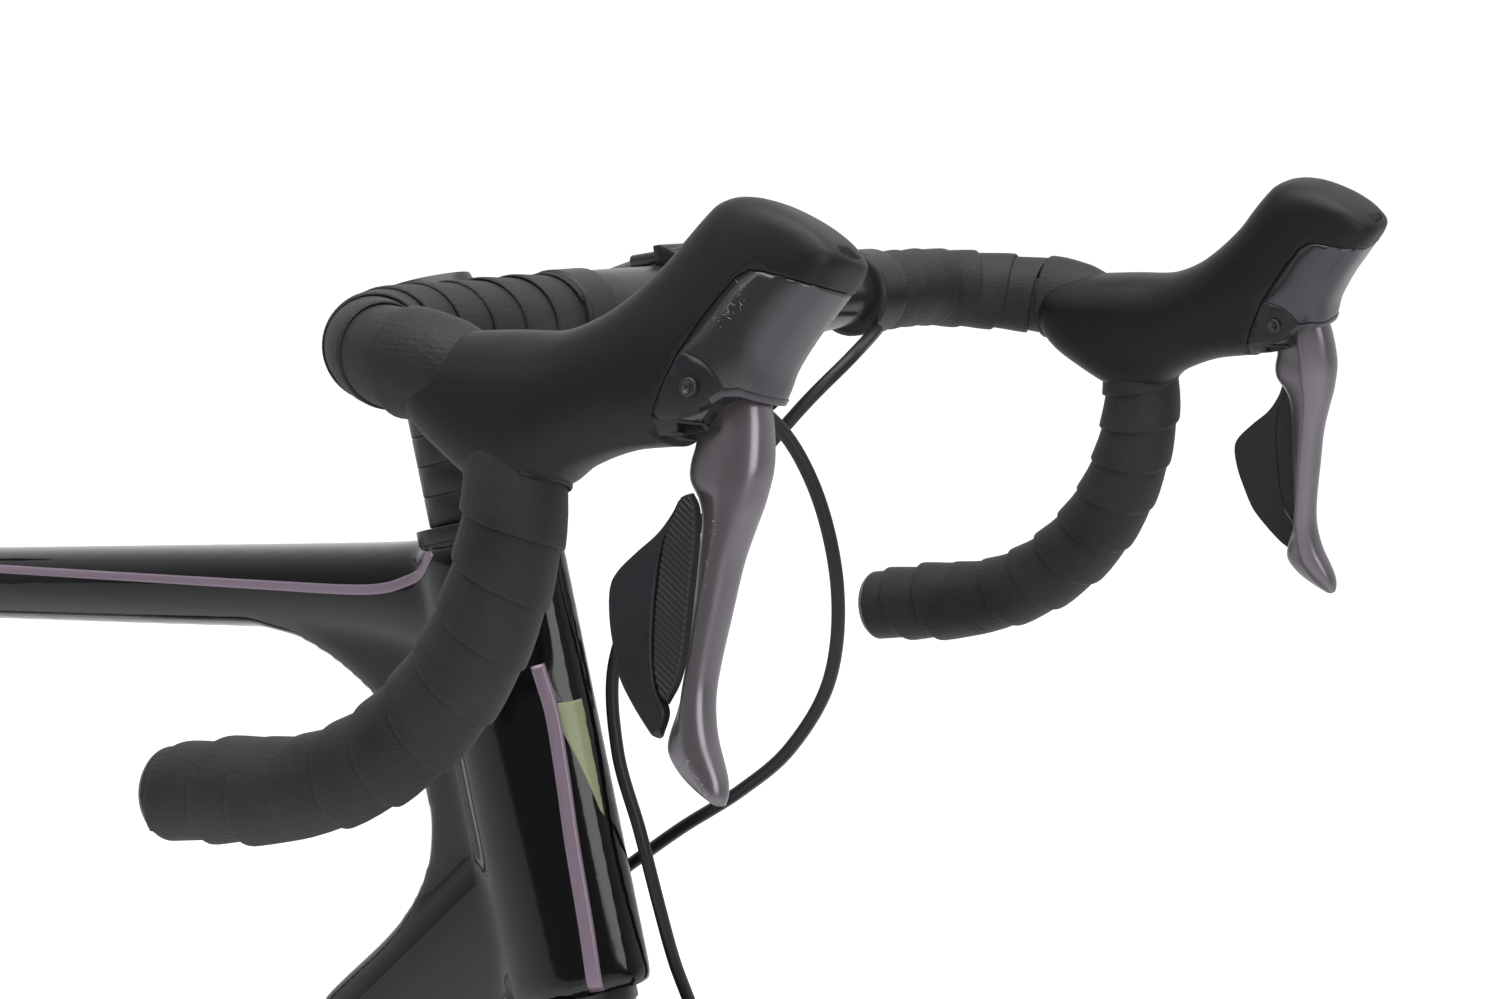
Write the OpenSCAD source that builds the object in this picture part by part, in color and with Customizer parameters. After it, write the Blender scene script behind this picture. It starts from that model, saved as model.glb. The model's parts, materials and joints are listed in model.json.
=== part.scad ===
// Road bicycle with disc brakes: frame, fork, cockpit with hoods and brake-shift
// levers, wheels, drivetrain and saddle, each real piece in a node of its own.
// +X is forward, +Y is the rider's left, +Z is up; the origin is on the ground,
// half way between the wheel axles.

/* [Frame] */
// Distance between the wheel axles
wheelbase = 996; // [990:1:1004]
// Chainstay length, bottom bracket to rear axle
chainstay = 410; // [406:1:414]
// Drop of the bottom bracket below the axles
bb_drop = 70; // [68:1:74]
// Head tube angle from the horizontal
head_angle = 73; // [72.5:0.5:73.5]
// Length of the head tube along the steering axis
head_len = 186; // [182:1:188]
// Seat tube angle from the horizontal
seat_angle = 73.5; // [73:0.5:74]

/* [Fork] */
// Fork length, axle to crown race
fork_len = 370; // [368:1:374]
// Fork rake, axle ahead of the steering axis
rake = 45; // [43:1:47]

/* [Wheels] */
// Bead seat diameter of the rim
bead_d = 622; // [622:1:622]
// Tyre width
tyre_w = 28; // [25:1:30]
// Depth of the rim
rim_depth = 42; // [30:1:50]
// Spokes in a wheel
spokes = 20; // [16:2:24]

/* [Cockpit] */
// Height of the stem clamp above the crown race, along the steering axis
stem_height = 260; // [256:1:264]
// Stem length, steering axis to bar centre
stem_len = 119.6; // [115:0.1:125]
// Rise of the stem above the horizontal
stem_rise = 12.3; // [11:0.1:13]
// Width of the bar between the middles of the hoods' clamps
bar_width = 408; // [400:1:420]
// Forward reach of the bar
bar_reach = 81; // [78:1:84]
// Outer diameter of the taped bar
tape_d = 31.5; // [30:0.5:33]
// Inward lean of the lever bodies
lever_lean = 10; // [8:1:12]
// Distance of the lever bodies from the mid-plane, at the pivot's height
lever_y = 200; // [198:1:204]

/* [Drivetrain] */
// Crank length
crank_len = 172.5; // [170:2.5:175]
// Teeth of the outer chainring
big_ring = 50; // [50:1:52]
// Teeth of the inner chainring
small_ring = 34; // [34:1:36]
// Chain pitch
pitch = 12.7; // [12.7:0.1:12.7]

/* [Saddle] */
// Height of the saddle's top above the bottom bracket, along the seat tube
saddle_height = 740; // [720:1:745]
// Width of the saddle
saddle_w = 143; // [138:1:148]

/* [Hidden] */
$fn = 48;
e = 0.01;

// ---- derived places ----
wheel_r = bead_d / 2 + tyre_w;
front_axle = [wheelbase / 2, 0, wheel_r];
rear_axle = [-wheelbase / 2, 0, wheel_r];
bb = [rear_axle[0] + sqrt(chainstay * chainstay - bb_drop * bb_drop), 0, wheel_r - bb_drop];
lean = 90 - head_angle;
steer_up = [-sin(lean), 0, cos(lean)];
steer_fwd = [cos(lean), 0, sin(lean)];
crown = front_axle - rake * steer_fwd + sqrt(fork_len * fork_len - rake * rake) * steer_up;
seat_up = [-cos(seat_angle), 0, sin(seat_angle)];
seat_fwd = [sin(seat_angle), 0, cos(seat_angle)];
stem_at = crown + stem_height * steer_up;
bar_at = stem_at + stem_len * [cos(stem_rise), 0, sin(stem_rise)];
lever_at = bar_at + [137, 0, -2];
tape_r = tape_d / 2;
bar_r = 11.9;
fit = 0.05;       // radial clearance of a part that turns on a shaft
gap = 0.4;        // clearance between parts that move past each other
hub_front = 50;   // half width of the front hub
hub_rear = 71;    // half width of the rear hub
axle_r = 6;

// ---- shape helpers ----
function unit(v) = v / norm(v);
function mix(a, b, t) = a + (b - a) * t;
function power(t, ex) = sign(t) * pow(abs(t), 2 / ex);
function oval(c, u, v, a, b, ex = 2, n = 16) =
    [for (i = [0:n - 1]) let (t = 360 * i / n) c + u * a * power(cos(t), ex) + v * b * power(sin(t), ex)];
function dirs(p) = [for (i = [0:len(p) - 1]) unit(p[min(i + 1, len(p) - 1)] - p[max(i - 1, 0)])];
function tube_rings(p, r, n, ref) = let (d = dirs(p))
    [for (i = [0:len(p) - 1]) let (u = unit(cross(d[i], ref)), rr = is_list(r) ? r[i] : r)
        oval(p[i], u, cross(d[i], u), rr, rr, 2, n)];

module skin(rings) {
    n = len(rings[0]);
    m = len(rings);
    polyhedron(points = [for (r = rings) each r], faces = concat(
        [[for (i = [0:n - 1]) i]],
        [for (j = [0:m - 2]) for (i = [0:n - 1]) let (k = (i + 1) % n)
            each [[j * n + i, (j + 1) * n + i, (j + 1) * n + k], [j * n + i, (j + 1) * n + k, j * n + k]]],
        [[for (i = [n - 1:-1:0]) (m - 1) * n + i]]));
}
module tube(p, r, n = 12, ref = [0, 1, 0]) { skin(tube_rings(p, r, n, ref)); }
module rod(a, b, r) {
    d = b - a;
    translate(a) rotate([0, acos(d[2] / norm(d)), atan2(d[1], d[0])]) cylinder(h = norm(d), r = r);
}
module across(c, r, y0, y1) { translate([c[0], y0, c[2]]) rotate([-90, 0, 0]) cylinder(h = y1 - y0, r = r); }
module ring_y(c, r_out, r_in, y0, y1) {
    difference() { across(c, r_out, y0, y1); across(c, r_in, y0 - 1, y1 + 1); }
}
module plate_xz(pts, y0, y1) { translate([0, y1, 0]) rotate([90, 0, 0]) linear_extrude(y1 - y0) polygon(pts); }
module steer() { translate(crown) rotate([0, -lean, 0]) children(); }
module left_and_right() { children(); mirror([0, 1, 0]) children(); }

// ---- frame ----
head_front = 24;   // centre of the head tube's narrow nose ahead of the axis
nose_r = 12;
head_r = 26;
module head_outline() {
    circle(r = head_r);
    translate([head_front, 0]) circle(r = nose_r);
    polygon([[8, -24.74], [head_front + 4, -11.3], [head_front + 4, 11.3], [8, 24.74]]);
}
module head_envelope() { steer() translate([0, 0, 9]) linear_extrude(head_len - 9) head_outline(); }
module head_tube() {
    color([0.03, 0.03, 0.035]) difference() {
        head_envelope();
        steer() {
            translate([0, 0, 8]) cylinder(h = head_len, r = 20);
            translate([0, 0, 8]) cylinder(h = 9, r = 23);
            translate([0, 0, head_len - 9]) cylinder(h = 10, r = 23);
        }
    }
}
seat_top = 531;    // length of the seat tube
seat_r = 18;
module seat_envelope() {
    translate(bb) rotate([0, seat_angle - 90, 0]) cylinder(h = seat_top, r = seat_r);
    across(bb, 24, -34, 34);
}
module seat_tube() {
    color([0.03, 0.03, 0.035]) difference() {
        seat_envelope();
        translate(bb) rotate([0, seat_angle - 90, 0]) cylinder(h = seat_top + 1, r = 13.6);
        across(bb, 19, -35, 35);
    }
}
post_r = 13.6;
top_a = crown + (head_len - 26) * steer_up;
top_b = bb + (seat_top - 15) * seat_up;
function top_rings(shrink) = [for (t = [0, 0.04, 0.09, 0.18, 0.35, 0.65, 1.03])
    let (h = t < 0.1 ? 26 - 80 * max(t, 0) : 18 - 5 * t) oval(mix(top_a, top_b, t) - [0, 0, t < 0.1 ? 5 - 40 * max(t, 0) : 0.5],
        [0, 0, 1], [0, 1, 0], h - shrink, mix(21, 15, t) - shrink, 2.6, 16)];
module top_tube() {
    color([0.03, 0.03, 0.035]) difference() {
        skin(top_rings(0));
        skin(top_rings(2.5));
        head_envelope();
        seat_envelope();
    }
}
down_a = crown + 44 * steer_up - 10 * steer_fwd;
down_dir = unit(bb - down_a);
down_side = [-down_dir[2], 0, down_dir[0]];
function down_rings(shrink) = [for (t = [-0.01, 0.1, 0.25, 0.5, 0.8, 0.99])
    oval(mix(down_a, bb, t), down_side, [0, -1, 0], mix(31, 27, t) - shrink, mix(22, 27, t) - shrink, 2.7, 16)];
module down_tube() {
    color([0.03, 0.03, 0.035]) difference() {
        skin(down_rings(0));
        skin(down_rings(3));
        head_envelope();
        seat_envelope();
        steer() translate([0, 0, -60]) cylinder(h = 69, r = 70);
        bosses(4);
        chainstays();
    }
}
// Bottle cage inserts, 64 mm apart, two on the down tube
boss_mid = 0.55;
module bosses(r, bore = 0) {
    mid = mix(down_a, bb, boss_mid);
    for (s = [-32, 32]) {
        foot = mid + s * down_dir - down_side * 17;
        difference() {
            rod(foot, foot - down_side * 13, r);
            if (bore > 0) rod(foot + down_side, foot - down_side * 14, bore);
        }
    }
}
module bottle_bosses() { color([0.6, 0.6, 0.62]) bosses(4, 2.1); }

module stay(pts, half_h, half_w) {
    d = dirs(pts);
    skin([for (i = [0:len(pts) - 1]) let (side = unit(cross(d[i], [0, 1, 0])))
        oval(pts[i], side, cross(d[i], side), half_h[i], half_w[i], 2.4, 12)]);
}
module dropout(side) {
    difference() {
        across(rear_axle, 17, side > 0 ? hub_rear + gap : -hub_rear - 7, side > 0 ? hub_rear + 7 : -hub_rear - gap);
        across(rear_axle, axle_r, -90, 90);
    }
}
module chainstays() {
    color([0.03, 0.03, 0.035]) difference() {
        union() {
            for (side = [-1, 1]) {
                stay([bb + [-16, side * 22, -2], bb + [-66, side * 27, 2], bb + [-120, side * 36, 10],
                      bb + [-230, side * 55, 30], bb + [-340, side * 73, 54],
                      rear_axle + [12, side * 74.7, -3]], [17, 15, 14, 12, 11, 10], [9, 7.5, 7.5, 6.5, 4.5, 3]);
                dropout(side);
            }
            plate_xz([[rear_axle[0] - 14, rear_axle[2] - 8], [rear_axle[0] - 14, rear_axle[2] - 34],
                      [rear_axle[0] + 4, rear_axle[2] - 34], [rear_axle[0] + 10, rear_axle[2] - 8]],
                     -hub_rear - 6.5, -hub_rear - 1);
        }
        seat_envelope();
        across(rear_axle, axle_r, -90, 90);
        across(hanger, 4.2, -90, -60);
    }
}
hanger = rear_axle + [-5, 0, -26];
stay_foot = bb + 400 * seat_up;
module seatstays() {
    color([0.03, 0.03, 0.035]) difference() {
        for (side = [-1, 1])
            stay([stay_foot + [-10, side * 13, 2], stay_foot + [-34, side * 22, -20],
                  mix(stay_foot, rear_axle, 0.35) + [0, side * 38, 4],
                  mix(stay_foot, rear_axle, 0.7) + [0, side * 60, 2],
                  rear_axle + [9, side * 74.7, 12]], [13, 10, 8, 7.5, 8], [7, 6, 5.5, 5.2, 3]);
        seat_envelope();
        across(rear_axle, 17, -90, 90);
        chainstays();
    }
}
module bearing_cups() {
    color([0.12, 0.12, 0.13]) {
        steer() {
            difference() {
                translate([0, 0, 1]) { cylinder(h = 7, r = 24); translate([0, 0, 7]) cylinder(h = 8, r = 23); }
                translate([0, 0, -1]) cylinder(h = 20, r = 19 + fit);
            }
            difference() {
                translate([0, 0, head_len - 9]) { cylinder(h = 9, r = 23); translate([0, 0, 9]) cylinder(h = 6, r = 24); }
                translate([0, 0, head_len - 10]) cylinder(h = 20, r = 14.3 + fit);
            }
        }
        for (side = [-1, 1]) difference() {
            union() {
                across(bb, 19, side > 0 ? 24 : -34, side > 0 ? 34 : -24);
                across(bb, 22, side > 0 ? 34 : -41, side > 0 ? 41 : -34);
            }
            across(bb, 12 + fit, -50, 50);
        }
    }
}

// ---- seatpost and saddle ----
rail_at = bb + (saddle_height - 42) * seat_up;
module seatpost() {
    color([0.04, 0.04, 0.045]) {
        translate(bb + 250 * seat_up) rotate([0, seat_angle - 90, 0]) difference() {
            cylinder(h = saddle_height - 42 - 250 - 6, r = post_r - e);
            translate([0, 0, -1]) cylinder(h = saddle_height - 42 - 250 - 12, r = 11.2);
        }
        translate(rail_at - 6 * seat_up) rotate([0, seat_angle - 90, 0]) translate([-16, -15, -6]) cube([32, 30, 6]);
    }
}
module seat_clamp() {
    color([0.05, 0.05, 0.055]) {
        difference() {
            translate(bb + (seat_top) * seat_up) rotate([0, seat_angle - 90, 0]) cylinder(h = 8, r = 19);
            translate(bb + (seat_top - 1) * seat_up) rotate([0, seat_angle - 90, 0]) cylinder(h = 10, r = post_r);
        }
        for (side = [-1, 1]) difference() {
            translate(rail_at + [-17, side * 22 - 6, -5.4]) cube([34, 12, 11]);
            across_x(rail_at + [0, side * 22, 0], 3.55);
        }
        translate(rail_at + [-8, -16, -5.4]) cube([16, 32, 8]);
    }
}
module across_x(c, r) { translate(c - [60, 0, 0]) rotate([0, 90, 0]) cylinder(h = 120, r = r); }
saddle_mid = rail_at + [5, 0, 26];
saddle_x = [-136, -128, -105, -75, -40, 0, 45, 90, 120, 134];
saddle_hw = [0.62, 0.84, 0.99, 1.0, 0.84, 0.56, 0.37, 0.29, 0.25, 0.14];
saddle_hh = [6, 11, 15, 17, 17, 16, 15, 14, 12, 7];
function saddle_rings(drop) = [for (i = [0:len(saddle_x) - 1])
    oval(saddle_mid + [saddle_x[i], 0, drop], [0, 0, 1], [0, -1, 0], saddle_hh[i], saddle_w / 2 * saddle_hw[i], 2.3, 20)];
module saddle_pad() {
    color([0.05, 0.05, 0.05]) difference() {
        skin(saddle_rings(0));
        translate(saddle_mid + [-150, -90, -40]) cube([300, 180, 37]);
    }
}
module saddle_base() {
    color([0.07, 0.07, 0.08]) {
        difference() {
            skin(saddle_rings(0));
            translate(saddle_mid + [-150, -90, -3]) cube([300, 180, 40]);
            translate(saddle_mid + [-150, -90, -40]) cube([300, 180, 33]);
        }
        for (side = [-1, 1])
            tube([saddle_mid + [-100, side * 30, -7], saddle_mid + [-92, side * 27, -14],
                  rail_at + [-62, side * 23, -1.5], rail_at + [-42, side * 22, 0], rail_at + [42, side * 22, 0],
                  rail_at + [62, side * 20, 3], rail_at + [100, side * 13, 15],
                  saddle_mid + [110, side * 9, -7]], 3.5, 12, [0, 1, 0]);
    }
}

// ---- steering column and stem ----
stem_clamp_h = 42;
spacer_from = head_len + 6 + gap;
spacer_h = (stem_height - stem_clamp_h / 2 - spacer_from) / 4;
module spacers() {
    color([0.05, 0.05, 0.05]) steer() for (i = [0:3]) translate([0, 0, spacer_from + i * spacer_h])
        difference() { cylinder(h = spacer_h - 0.1, r = 18.5); translate([0, 0, -1]) cylinder(h = 20, r = 14.35); }
}
module stem_axis() { translate(stem_at) rotate([0, -stem_rise, 0]) children(); }
module stem() {
    color([0.05, 0.05, 0.055]) difference() {
        union() {
            steer() translate([0, 0, stem_height - stem_clamp_h / 2]) cylinder(h = stem_clamp_h, r = 18.5);
            stem_axis() skin([for (s = [[0, 15, 17], [30, 15.5, 16], [70, 16, 17], [100, 20.5, 21], [stem_len + 1, 23, 22]])
                oval([s[0], 0, 0], [0, 0, 1], [0, -1, 0], s[1], s[2], 3, 16)]);
        }
        steer() translate([0, 0, stem_height - 40]) cylinder(h = 80, r = 14.35);
        across(bar_at, 15.9, -40, 40);
        stem_axis() translate([stem_len + 0.5, -40, -40]) cube(80);
        stem_axis() for (y = [-16, 16]) for (z = [-18.8, 18.8]) translate([stem_len - 14, y, z])
            rotate([0, 90, 0]) cylinder(h = 30, r = 2.5, $fn = 24);
    }
}
module faceplate() {
    color([0.05, 0.05, 0.055]) stem_axis() difference() {
        intersection() {
            translate([stem_len + 0.5, -22, -23]) cube([18.5, 44, 46]);
            translate([stem_len - 5.5, 30, 0]) rotate([90, 0, 0]) cylinder(h = 60, r = 24.5);
        }
        translate([stem_len, 30, 0]) rotate([90, 0, 0]) cylinder(h = 60, r = 15.9);
        for (y = [-16, 16]) for (z = [-18.8, 18.8]) translate([stem_len, y, z])
            rotate([0, 90, 0]) cylinder(h = 60, r = 2.5, $fn = 24);
    }
}
module stem_bolts() {
    color([0.5, 0.5, 0.52]) {
        stem_axis() for (y = [-16, 16]) for (z = [-18.8, 18.8]) translate([stem_len - 13, y, z])
            rotate([0, 90, 0]) difference() {
                union() { cylinder(h = 25, r = 2.45, $fn = 24); translate([0, 0, 20]) cylinder(h = 5, r = 2.45); }
                translate([0, 0, 22]) cylinder(h = 4, r = 1.6, $fn = 6);
            }
        steer() translate([0, 0, stem_height + stem_clamp_h / 2]) difference() {
            cylinder(h = 5, r1 = 18, r2 = 16);
            translate([0, 0, 2]) cylinder(h = 4, r = 2.5, $fn = 6);
        }
    }
}

// ---- handlebar: tops, corner, bend and drop of one side, from the middle out ----
flat_half = 160;
corner_r = 44;
bend_r = 34;
drop_r = 101;
drop_turn = 78;
end_len = 45;
flare = 12.5;
function flared(p) = p + [0, -flare * max(0, -p[2] - 6) / 140, 0];
function arc_pts(n, f) = [for (i = [1:n]) f(i / n)];
bar_side_y = flat_half + corner_r;
ramp_x = bar_reach - bend_r;
drop_c = [bar_reach - drop_r, 0, -4 - bend_r];
bar_side = [for (p = concat(
    [for (t = [0:4]) [0, -mix(45, flat_half, t / 4), 0]],
    arc_pts(5, function(t) [corner_r * (1 - cos(90 * t)), -flat_half - corner_r * sin(90 * t), -3 * t]),
    arc_pts(5, function(t) [ramp_x + bend_r * sin(90 * t), -bar_side_y, -4 - bend_r * (1 - cos(90 * t))]),
    arc_pts(9, function(t) drop_c + [drop_r * cos(drop_turn * t), -bar_side_y, -drop_r * sin(drop_turn * t)]),
    arc_pts(2, function(t) drop_c + [drop_r * cos(drop_turn) - t * end_len * sin(drop_turn), -bar_side_y,
        -drop_r * sin(drop_turn) - t * end_len * cos(drop_turn)]))) bar_at + flared(p)];
bar_ref = [1, 1, 1];
bar_radii = [for (i = [0:len(bar_side) - 1]) i < 5 ? mix(15.8, bar_r, i / 5) : bar_r];
module bar_half() {
    n = len(bar_side);
    past = bar_side[n - 1] + 2 * unit(bar_side[n - 1] - bar_side[n - 2]);
    difference() {
        tube(bar_side, bar_radii, 12, bar_ref);
        tube(concat(bar_side, [past]), [for (r = concat(bar_radii, [bar_r])) r - 2], 12, bar_ref);
    }
}
module handlebar() {
    color([0.04, 0.04, 0.045]) {
        difference() { across(bar_at, 15.9, -45.5, 45.5); across(bar_at, 13.6, -50, 50); }
        left_and_right() bar_half();
    }
}
module tape_side(end_y) {
    n = len(bar_side);
    pts = concat([bar_at + [0, -end_y, 0]], [for (i = [0:n - 1]) if (bar_side[i][1] < -end_y - 6) bar_side[i]]);
    inner = concat([bar_at + [0, -end_y + 1, 0]], [for (i = [0:n - 1]) if (bar_side[i][1] < -end_y - 6) bar_side[i]],
                   [bar_side[n - 1] + 1 * unit(bar_side[n - 1] - bar_side[n - 2])]);
    difference() {
        tube(pts, tape_r, 12, bar_ref);
        tube(inner, [for (i = [0:len(inner) - 1]) i < 6 ? mix(15.2, bar_r + 0.1, i / 5) : bar_r + 0.1], 12, bar_ref);
        hood_envelope();
    }
}
// The tape stops further out on the left, where both brake hoses leave it
tape_end_right = 70;
tape_end_left = 108;
module bar_tape() {
    color([0.03, 0.03, 0.03]) {
        tape_side(tape_end_right);
        mirror([0, 1, 0]) tape_side(tape_end_left);
    }
}
module bar_plugs() {
    n = len(bar_side);
    out = unit(bar_side[n - 1] - bar_side[n - 2]);
    color([0.05, 0.06, 0.05]) left_and_right()
        rod(bar_side[n - 1], bar_side[n - 1] + 3 * out, 13.5);
}

// ---- hoods and lever bodies, drawn for the right side in the lever's own frame ----
module lever_frame() { translate(lever_at + [0, -lever_y, 0]) rotate([-lever_lean, 0, 0]) children(); }
// Stations along the hood: bottom x, z, top x, z and half width
hood_stations = [
    [-98, -12, -93, 5, 13], [-80, -26, -78, 9, 17], [-58, -34, -60, 11, 18], [-42, -31, -45, 13, 17.5],
    [-28, -20, -32, 17, 17], [-8, -15, -20, 25, 17.5], [9, -12, -8, 37, 17.5], [26, -3, 0, 47, 16.5],
    [29, 8, 5, 52, 16], [36, 21, 12, 55, 15], [41, 32, 20, 54.5, 13.5], [43, 40, 32, 50, 9]];
function hood_rings(grow, first = 0) = [for (i = [first:len(hood_stations) - 1])
    let (q = hood_stations[i], b = [q[0], 0, q[1]], t = [q[2], 0, q[3]])
    oval((b + t) / 2, unit(t - b), [0, -1, 0], norm(t - b) / 2 + grow, q[4] + grow, 2.5, 20)];
module hood_envelope() { lever_frame() skin(hood_rings(0)); }
pivot = [10, 0, 4];
pin_r = 2.5;
cover_line = [[60, 38], [30, 37], [22, 34], [14, 24], [4, 12], [-3, 3], [-7, -6], [-6, -30], [60, -30]];
module cover_region() { plate_xz(cover_line, -30, 30); }
module lever_slot() {
    plate_xz([[-12, -30], [40, -30], [40, -2], [19, 9], [3, 12], [-4, 5]], -8, 8);
    across(pivot, 9.5, -8, 8);
}
module body_blank() {
    intersection() { skin(hood_rings(0)); cover_region(); }
    difference() { skin(hood_rings(-2.5, 2)); cover_region(); }
}
module bar_space() { tube(bar_side, bar_r + 0.1, 12, bar_ref); }
module lever_body_r() {
    difference() {
        lever_frame() difference() { body_blank(); lever_slot(); across(pivot, pin_r, -30, 30); }
        bar_space();
    }
}
module hood_r() {
    difference() {
        lever_frame() difference() { skin(hood_rings(0)); cover_region(); skin(hood_rings(-2.5, 2)); lever_slot(); }
        bar_space();
    }
}
module lever_bodies() { color([0.1, 0.09, 0.1]) left_and_right() lever_body_r(); }
module hoods() { color([0.04, 0.04, 0.04]) left_and_right() hood_r(); }
module pivot_pins() {
    color([0.35, 0.35, 0.37]) left_and_right() lever_frame() across(pivot, pin_r - e, -15, 15);
}
// Brake blade: height, rear x, front x and half width
blade_stations = [
    [0, 4, 20, 6.5], [-12, 5, 23, 6.5], [-22, 6, 22.5, 7], [-35, 8.5, 20.5, 7], [-55, 9, 18.5, 6.5],
    [-72, 8, 16, 6], [-86, 7, 15.5, 6], [-97, 8, 18.5, 6.5], [-105, 13, 22, 6.5], [-111, 21, 26, 4.5]];
module blade() {
    difference() {
        union() {
            skin([for (i = [len(blade_stations) - 1:-1:0]) let (q = blade_stations[i])
                oval([(q[1] + q[2]) / 2, 0, q[0]], [1, 0, 0], [0, 1, 0], (q[2] - q[1]) / 2, q[3], 2.5, 16)]);
            across(pivot, 8.5, -7, 7);
        }
        across(pivot, pin_r + fit, -20, 20);
    }
}
module brake_lever_right() { color([0.16, 0.14, 0.16]) lever_frame() blade(); }
module brake_lever_left() { color([0.16, 0.14, 0.16]) mirror([0, 1, 0]) lever_frame() blade(); }
// Shift paddle: the wing behind the blade; shift button: the ribbed strip between them
wing = [[6, -28], [3, -34], [-11, -49], [-13, -54], [-12, -63], [-9, -73], [-5, -81], [0, -88], [5, -93],
        [3.6, -84], [1.6, -74], [1.2, -62], [1.6, -48], [4.4, -36]];
strip = [[5.6, -36], [2.4, -48], [2, -62], [2.4, -73], [4.6, -82], [6.2, -82], [7.2, -70], [8.2, -54], [7.6, -38]];
module paddle() { plate_xz(wing, -6.6, -3); }
module button() { plate_xz(strip, -6, -2.4); }
module shift_paddle_right() { color([0.05, 0.05, 0.05]) lever_frame() paddle(); }
module shift_paddle_left() { color([0.05, 0.05, 0.05]) mirror([0, 1, 0]) lever_frame() paddle(); }
module shift_button_right() { color([0.06, 0.06, 0.06]) lever_frame() button(); }
module shift_button_left() { color([0.06, 0.06, 0.06]) mirror([0, 1, 0]) lever_frame() button(); }

// ---- brake hoses, 5 mm, along their routes ----
hose_r = 2.5;
front_hose_route = [
    [402, 106, 938], [411, 84, 936], [417, 60, 930], [408, 42, 912], [385, 26, 876], [362, 14, 842], [352, 9, 812],
    [358, 5, 780], [371, 3, 752], [379, 6, 724], [382, 14, 700], [385, 26, 674], [384, 37, 648], [380, 43.5, 620],
    [386, 47.5, 580], [402, 51.5, 530], [420, 55.5, 480], [436, 59, 440], [437, 55, 414], [433, 48, 400]];
rear_hose_route = [
    [402, -67, 936], [414, -45, 931], [433, -20, 919], [447, -8, 894], [454, 0, 858], [448, 8, 822], [429, 14, 792],
    [404, 20, 770], [376, 25, 750], [354, 29, 733], [336, 30, 718], [322, 27, 705], [312, 19, 696]];
rear_lower_route = [[-392, 71, 322], [-400, 70, 334], [-410, 66, 346], [-420, 60, 352]];
module front_hose() { color([0.04, 0.04, 0.04]) tube(front_hose_route, hose_r, 8, [1, 0.5, 0.2]); }
module rear_hose() {
    color([0.04, 0.04, 0.04]) {
        tube(rear_hose_route, hose_r, 8, [-0.5, 1, 0.9]);
        tube(rear_lower_route, hose_r, 8);
    }
}

// ---- fork ----
leg_a = crown - 14 * steer_up;
module fork_leg(side) {
    skin([for (i = [0:7]) let (t = i / 7.1)
        oval(mix(leg_a, front_axle, t) + [8 * sin(180 * t), side * mix(27, 56, pow(t, 0.85)), 0],
             [0, -side, 0], unit(cross(unit(front_axle - leg_a), [0, -side, 0])), mix(8.5, 5.4, t),
             mix(24, 11, t), 2.3, 12)]);
}
module fork() {
    color([0.03, 0.03, 0.035]) difference() {
        union() {
            steer() {
                translate([0, 0, -6]) cylinder(h = stem_height + stem_clamp_h / 2 + 5, r = 14.3);
                translate([0, 0, -6]) cylinder(h = 15, r = 19);
                translate([0, 0, -7]) cylinder(h = 7, r = 25);
            }
            skin([for (y = [-34, -24, -10, 10, 24, 34]) let (c = crown - 15 * steer_up + [2, 0, 0])
                oval(c + [0, -y, 0], steer_fwd, steer_up, abs(y) > 30 ? 20 : 25, abs(y) > 30 ? 8 : 12, 2.5, 16)]);
            for (side = [-1, 1]) {
                fork_leg(side);
                across(front_axle, 13, side > 0 ? hub_front + gap : -hub_front - 11, side > 0 ? hub_front + 11 : -hub_front - gap);
            }
        }
        across(front_axle, axle_r, -90, 90);
        across(front_axle, 60, -hub_front - gap, hub_front + gap);
        across(front_axle, wheel_r + 4, -19, 19);
        steer() translate([0, 0, 10]) cylinder(h = 400, r = 11);
    }
}
module front_thru_axle() {
    color([0.2, 0.2, 0.21]) difference() {
        union() { across(front_axle, axle_r - e, -61.5, 61); across(front_axle, 9, -64, -61); }
        across(front_axle, 3, -70, -58);
    }
}
module rear_thru_axle() {
    color([0.2, 0.2, 0.21]) difference() {
        union() { across(rear_axle, axle_r - e, -77, 78); across(rear_axle, 9, 78, 81); }
        across(rear_axle, 3, 75, 90);
    }
}

// ---- disc brakes: rotor on the left, two pads and the caliper round its rim ----
rotor_r = 70;
rotor_t = 1.8;
front_rotor_y = 38;
rear_rotor_y = 56;
// Caliper drawn with its rotor's centre at the origin and its middle along +X
module caliper_blank() {
    difference() {
        translate([48, -15, -21]) cube([34, 30, 39.5]);
        translate([40, -1.8, -30]) cube([36, 3.6, 60]);
        translate([46, -7, -13]) cube([26, 14, 26]);
    }
}
module pad(side) {
    y0 = rotor_t / 2 + gap;
    translate([48, side > 0 ? y0 : -y0 - 4.2, -12]) cube([22, 4.2, 24]);
}
module at_front_brake() { translate(front_axle + [0, front_rotor_y, 0]) rotate([0, -150, 0]) children(); }
module at_rear_brake() { translate(rear_axle + [0, rear_rotor_y, 0]) rotate([0, -20, 0]) children(); }
module front_caliper() { color([0.08, 0.08, 0.09]) at_front_brake() caliper_blank(); }
module rear_caliper() { color([0.08, 0.08, 0.09]) at_rear_brake() caliper_blank(); }
module front_pad_inner() { color([0.4, 0.38, 0.35]) at_front_brake() pad(-1); }
module front_pad_outer() { color([0.4, 0.38, 0.35]) at_front_brake() pad(1); }
module rear_pad_inner() { color([0.4, 0.38, 0.35]) at_rear_brake() pad(-1); }
module rear_pad_outer() { color([0.4, 0.38, 0.35]) at_rear_brake() pad(1); }

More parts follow.
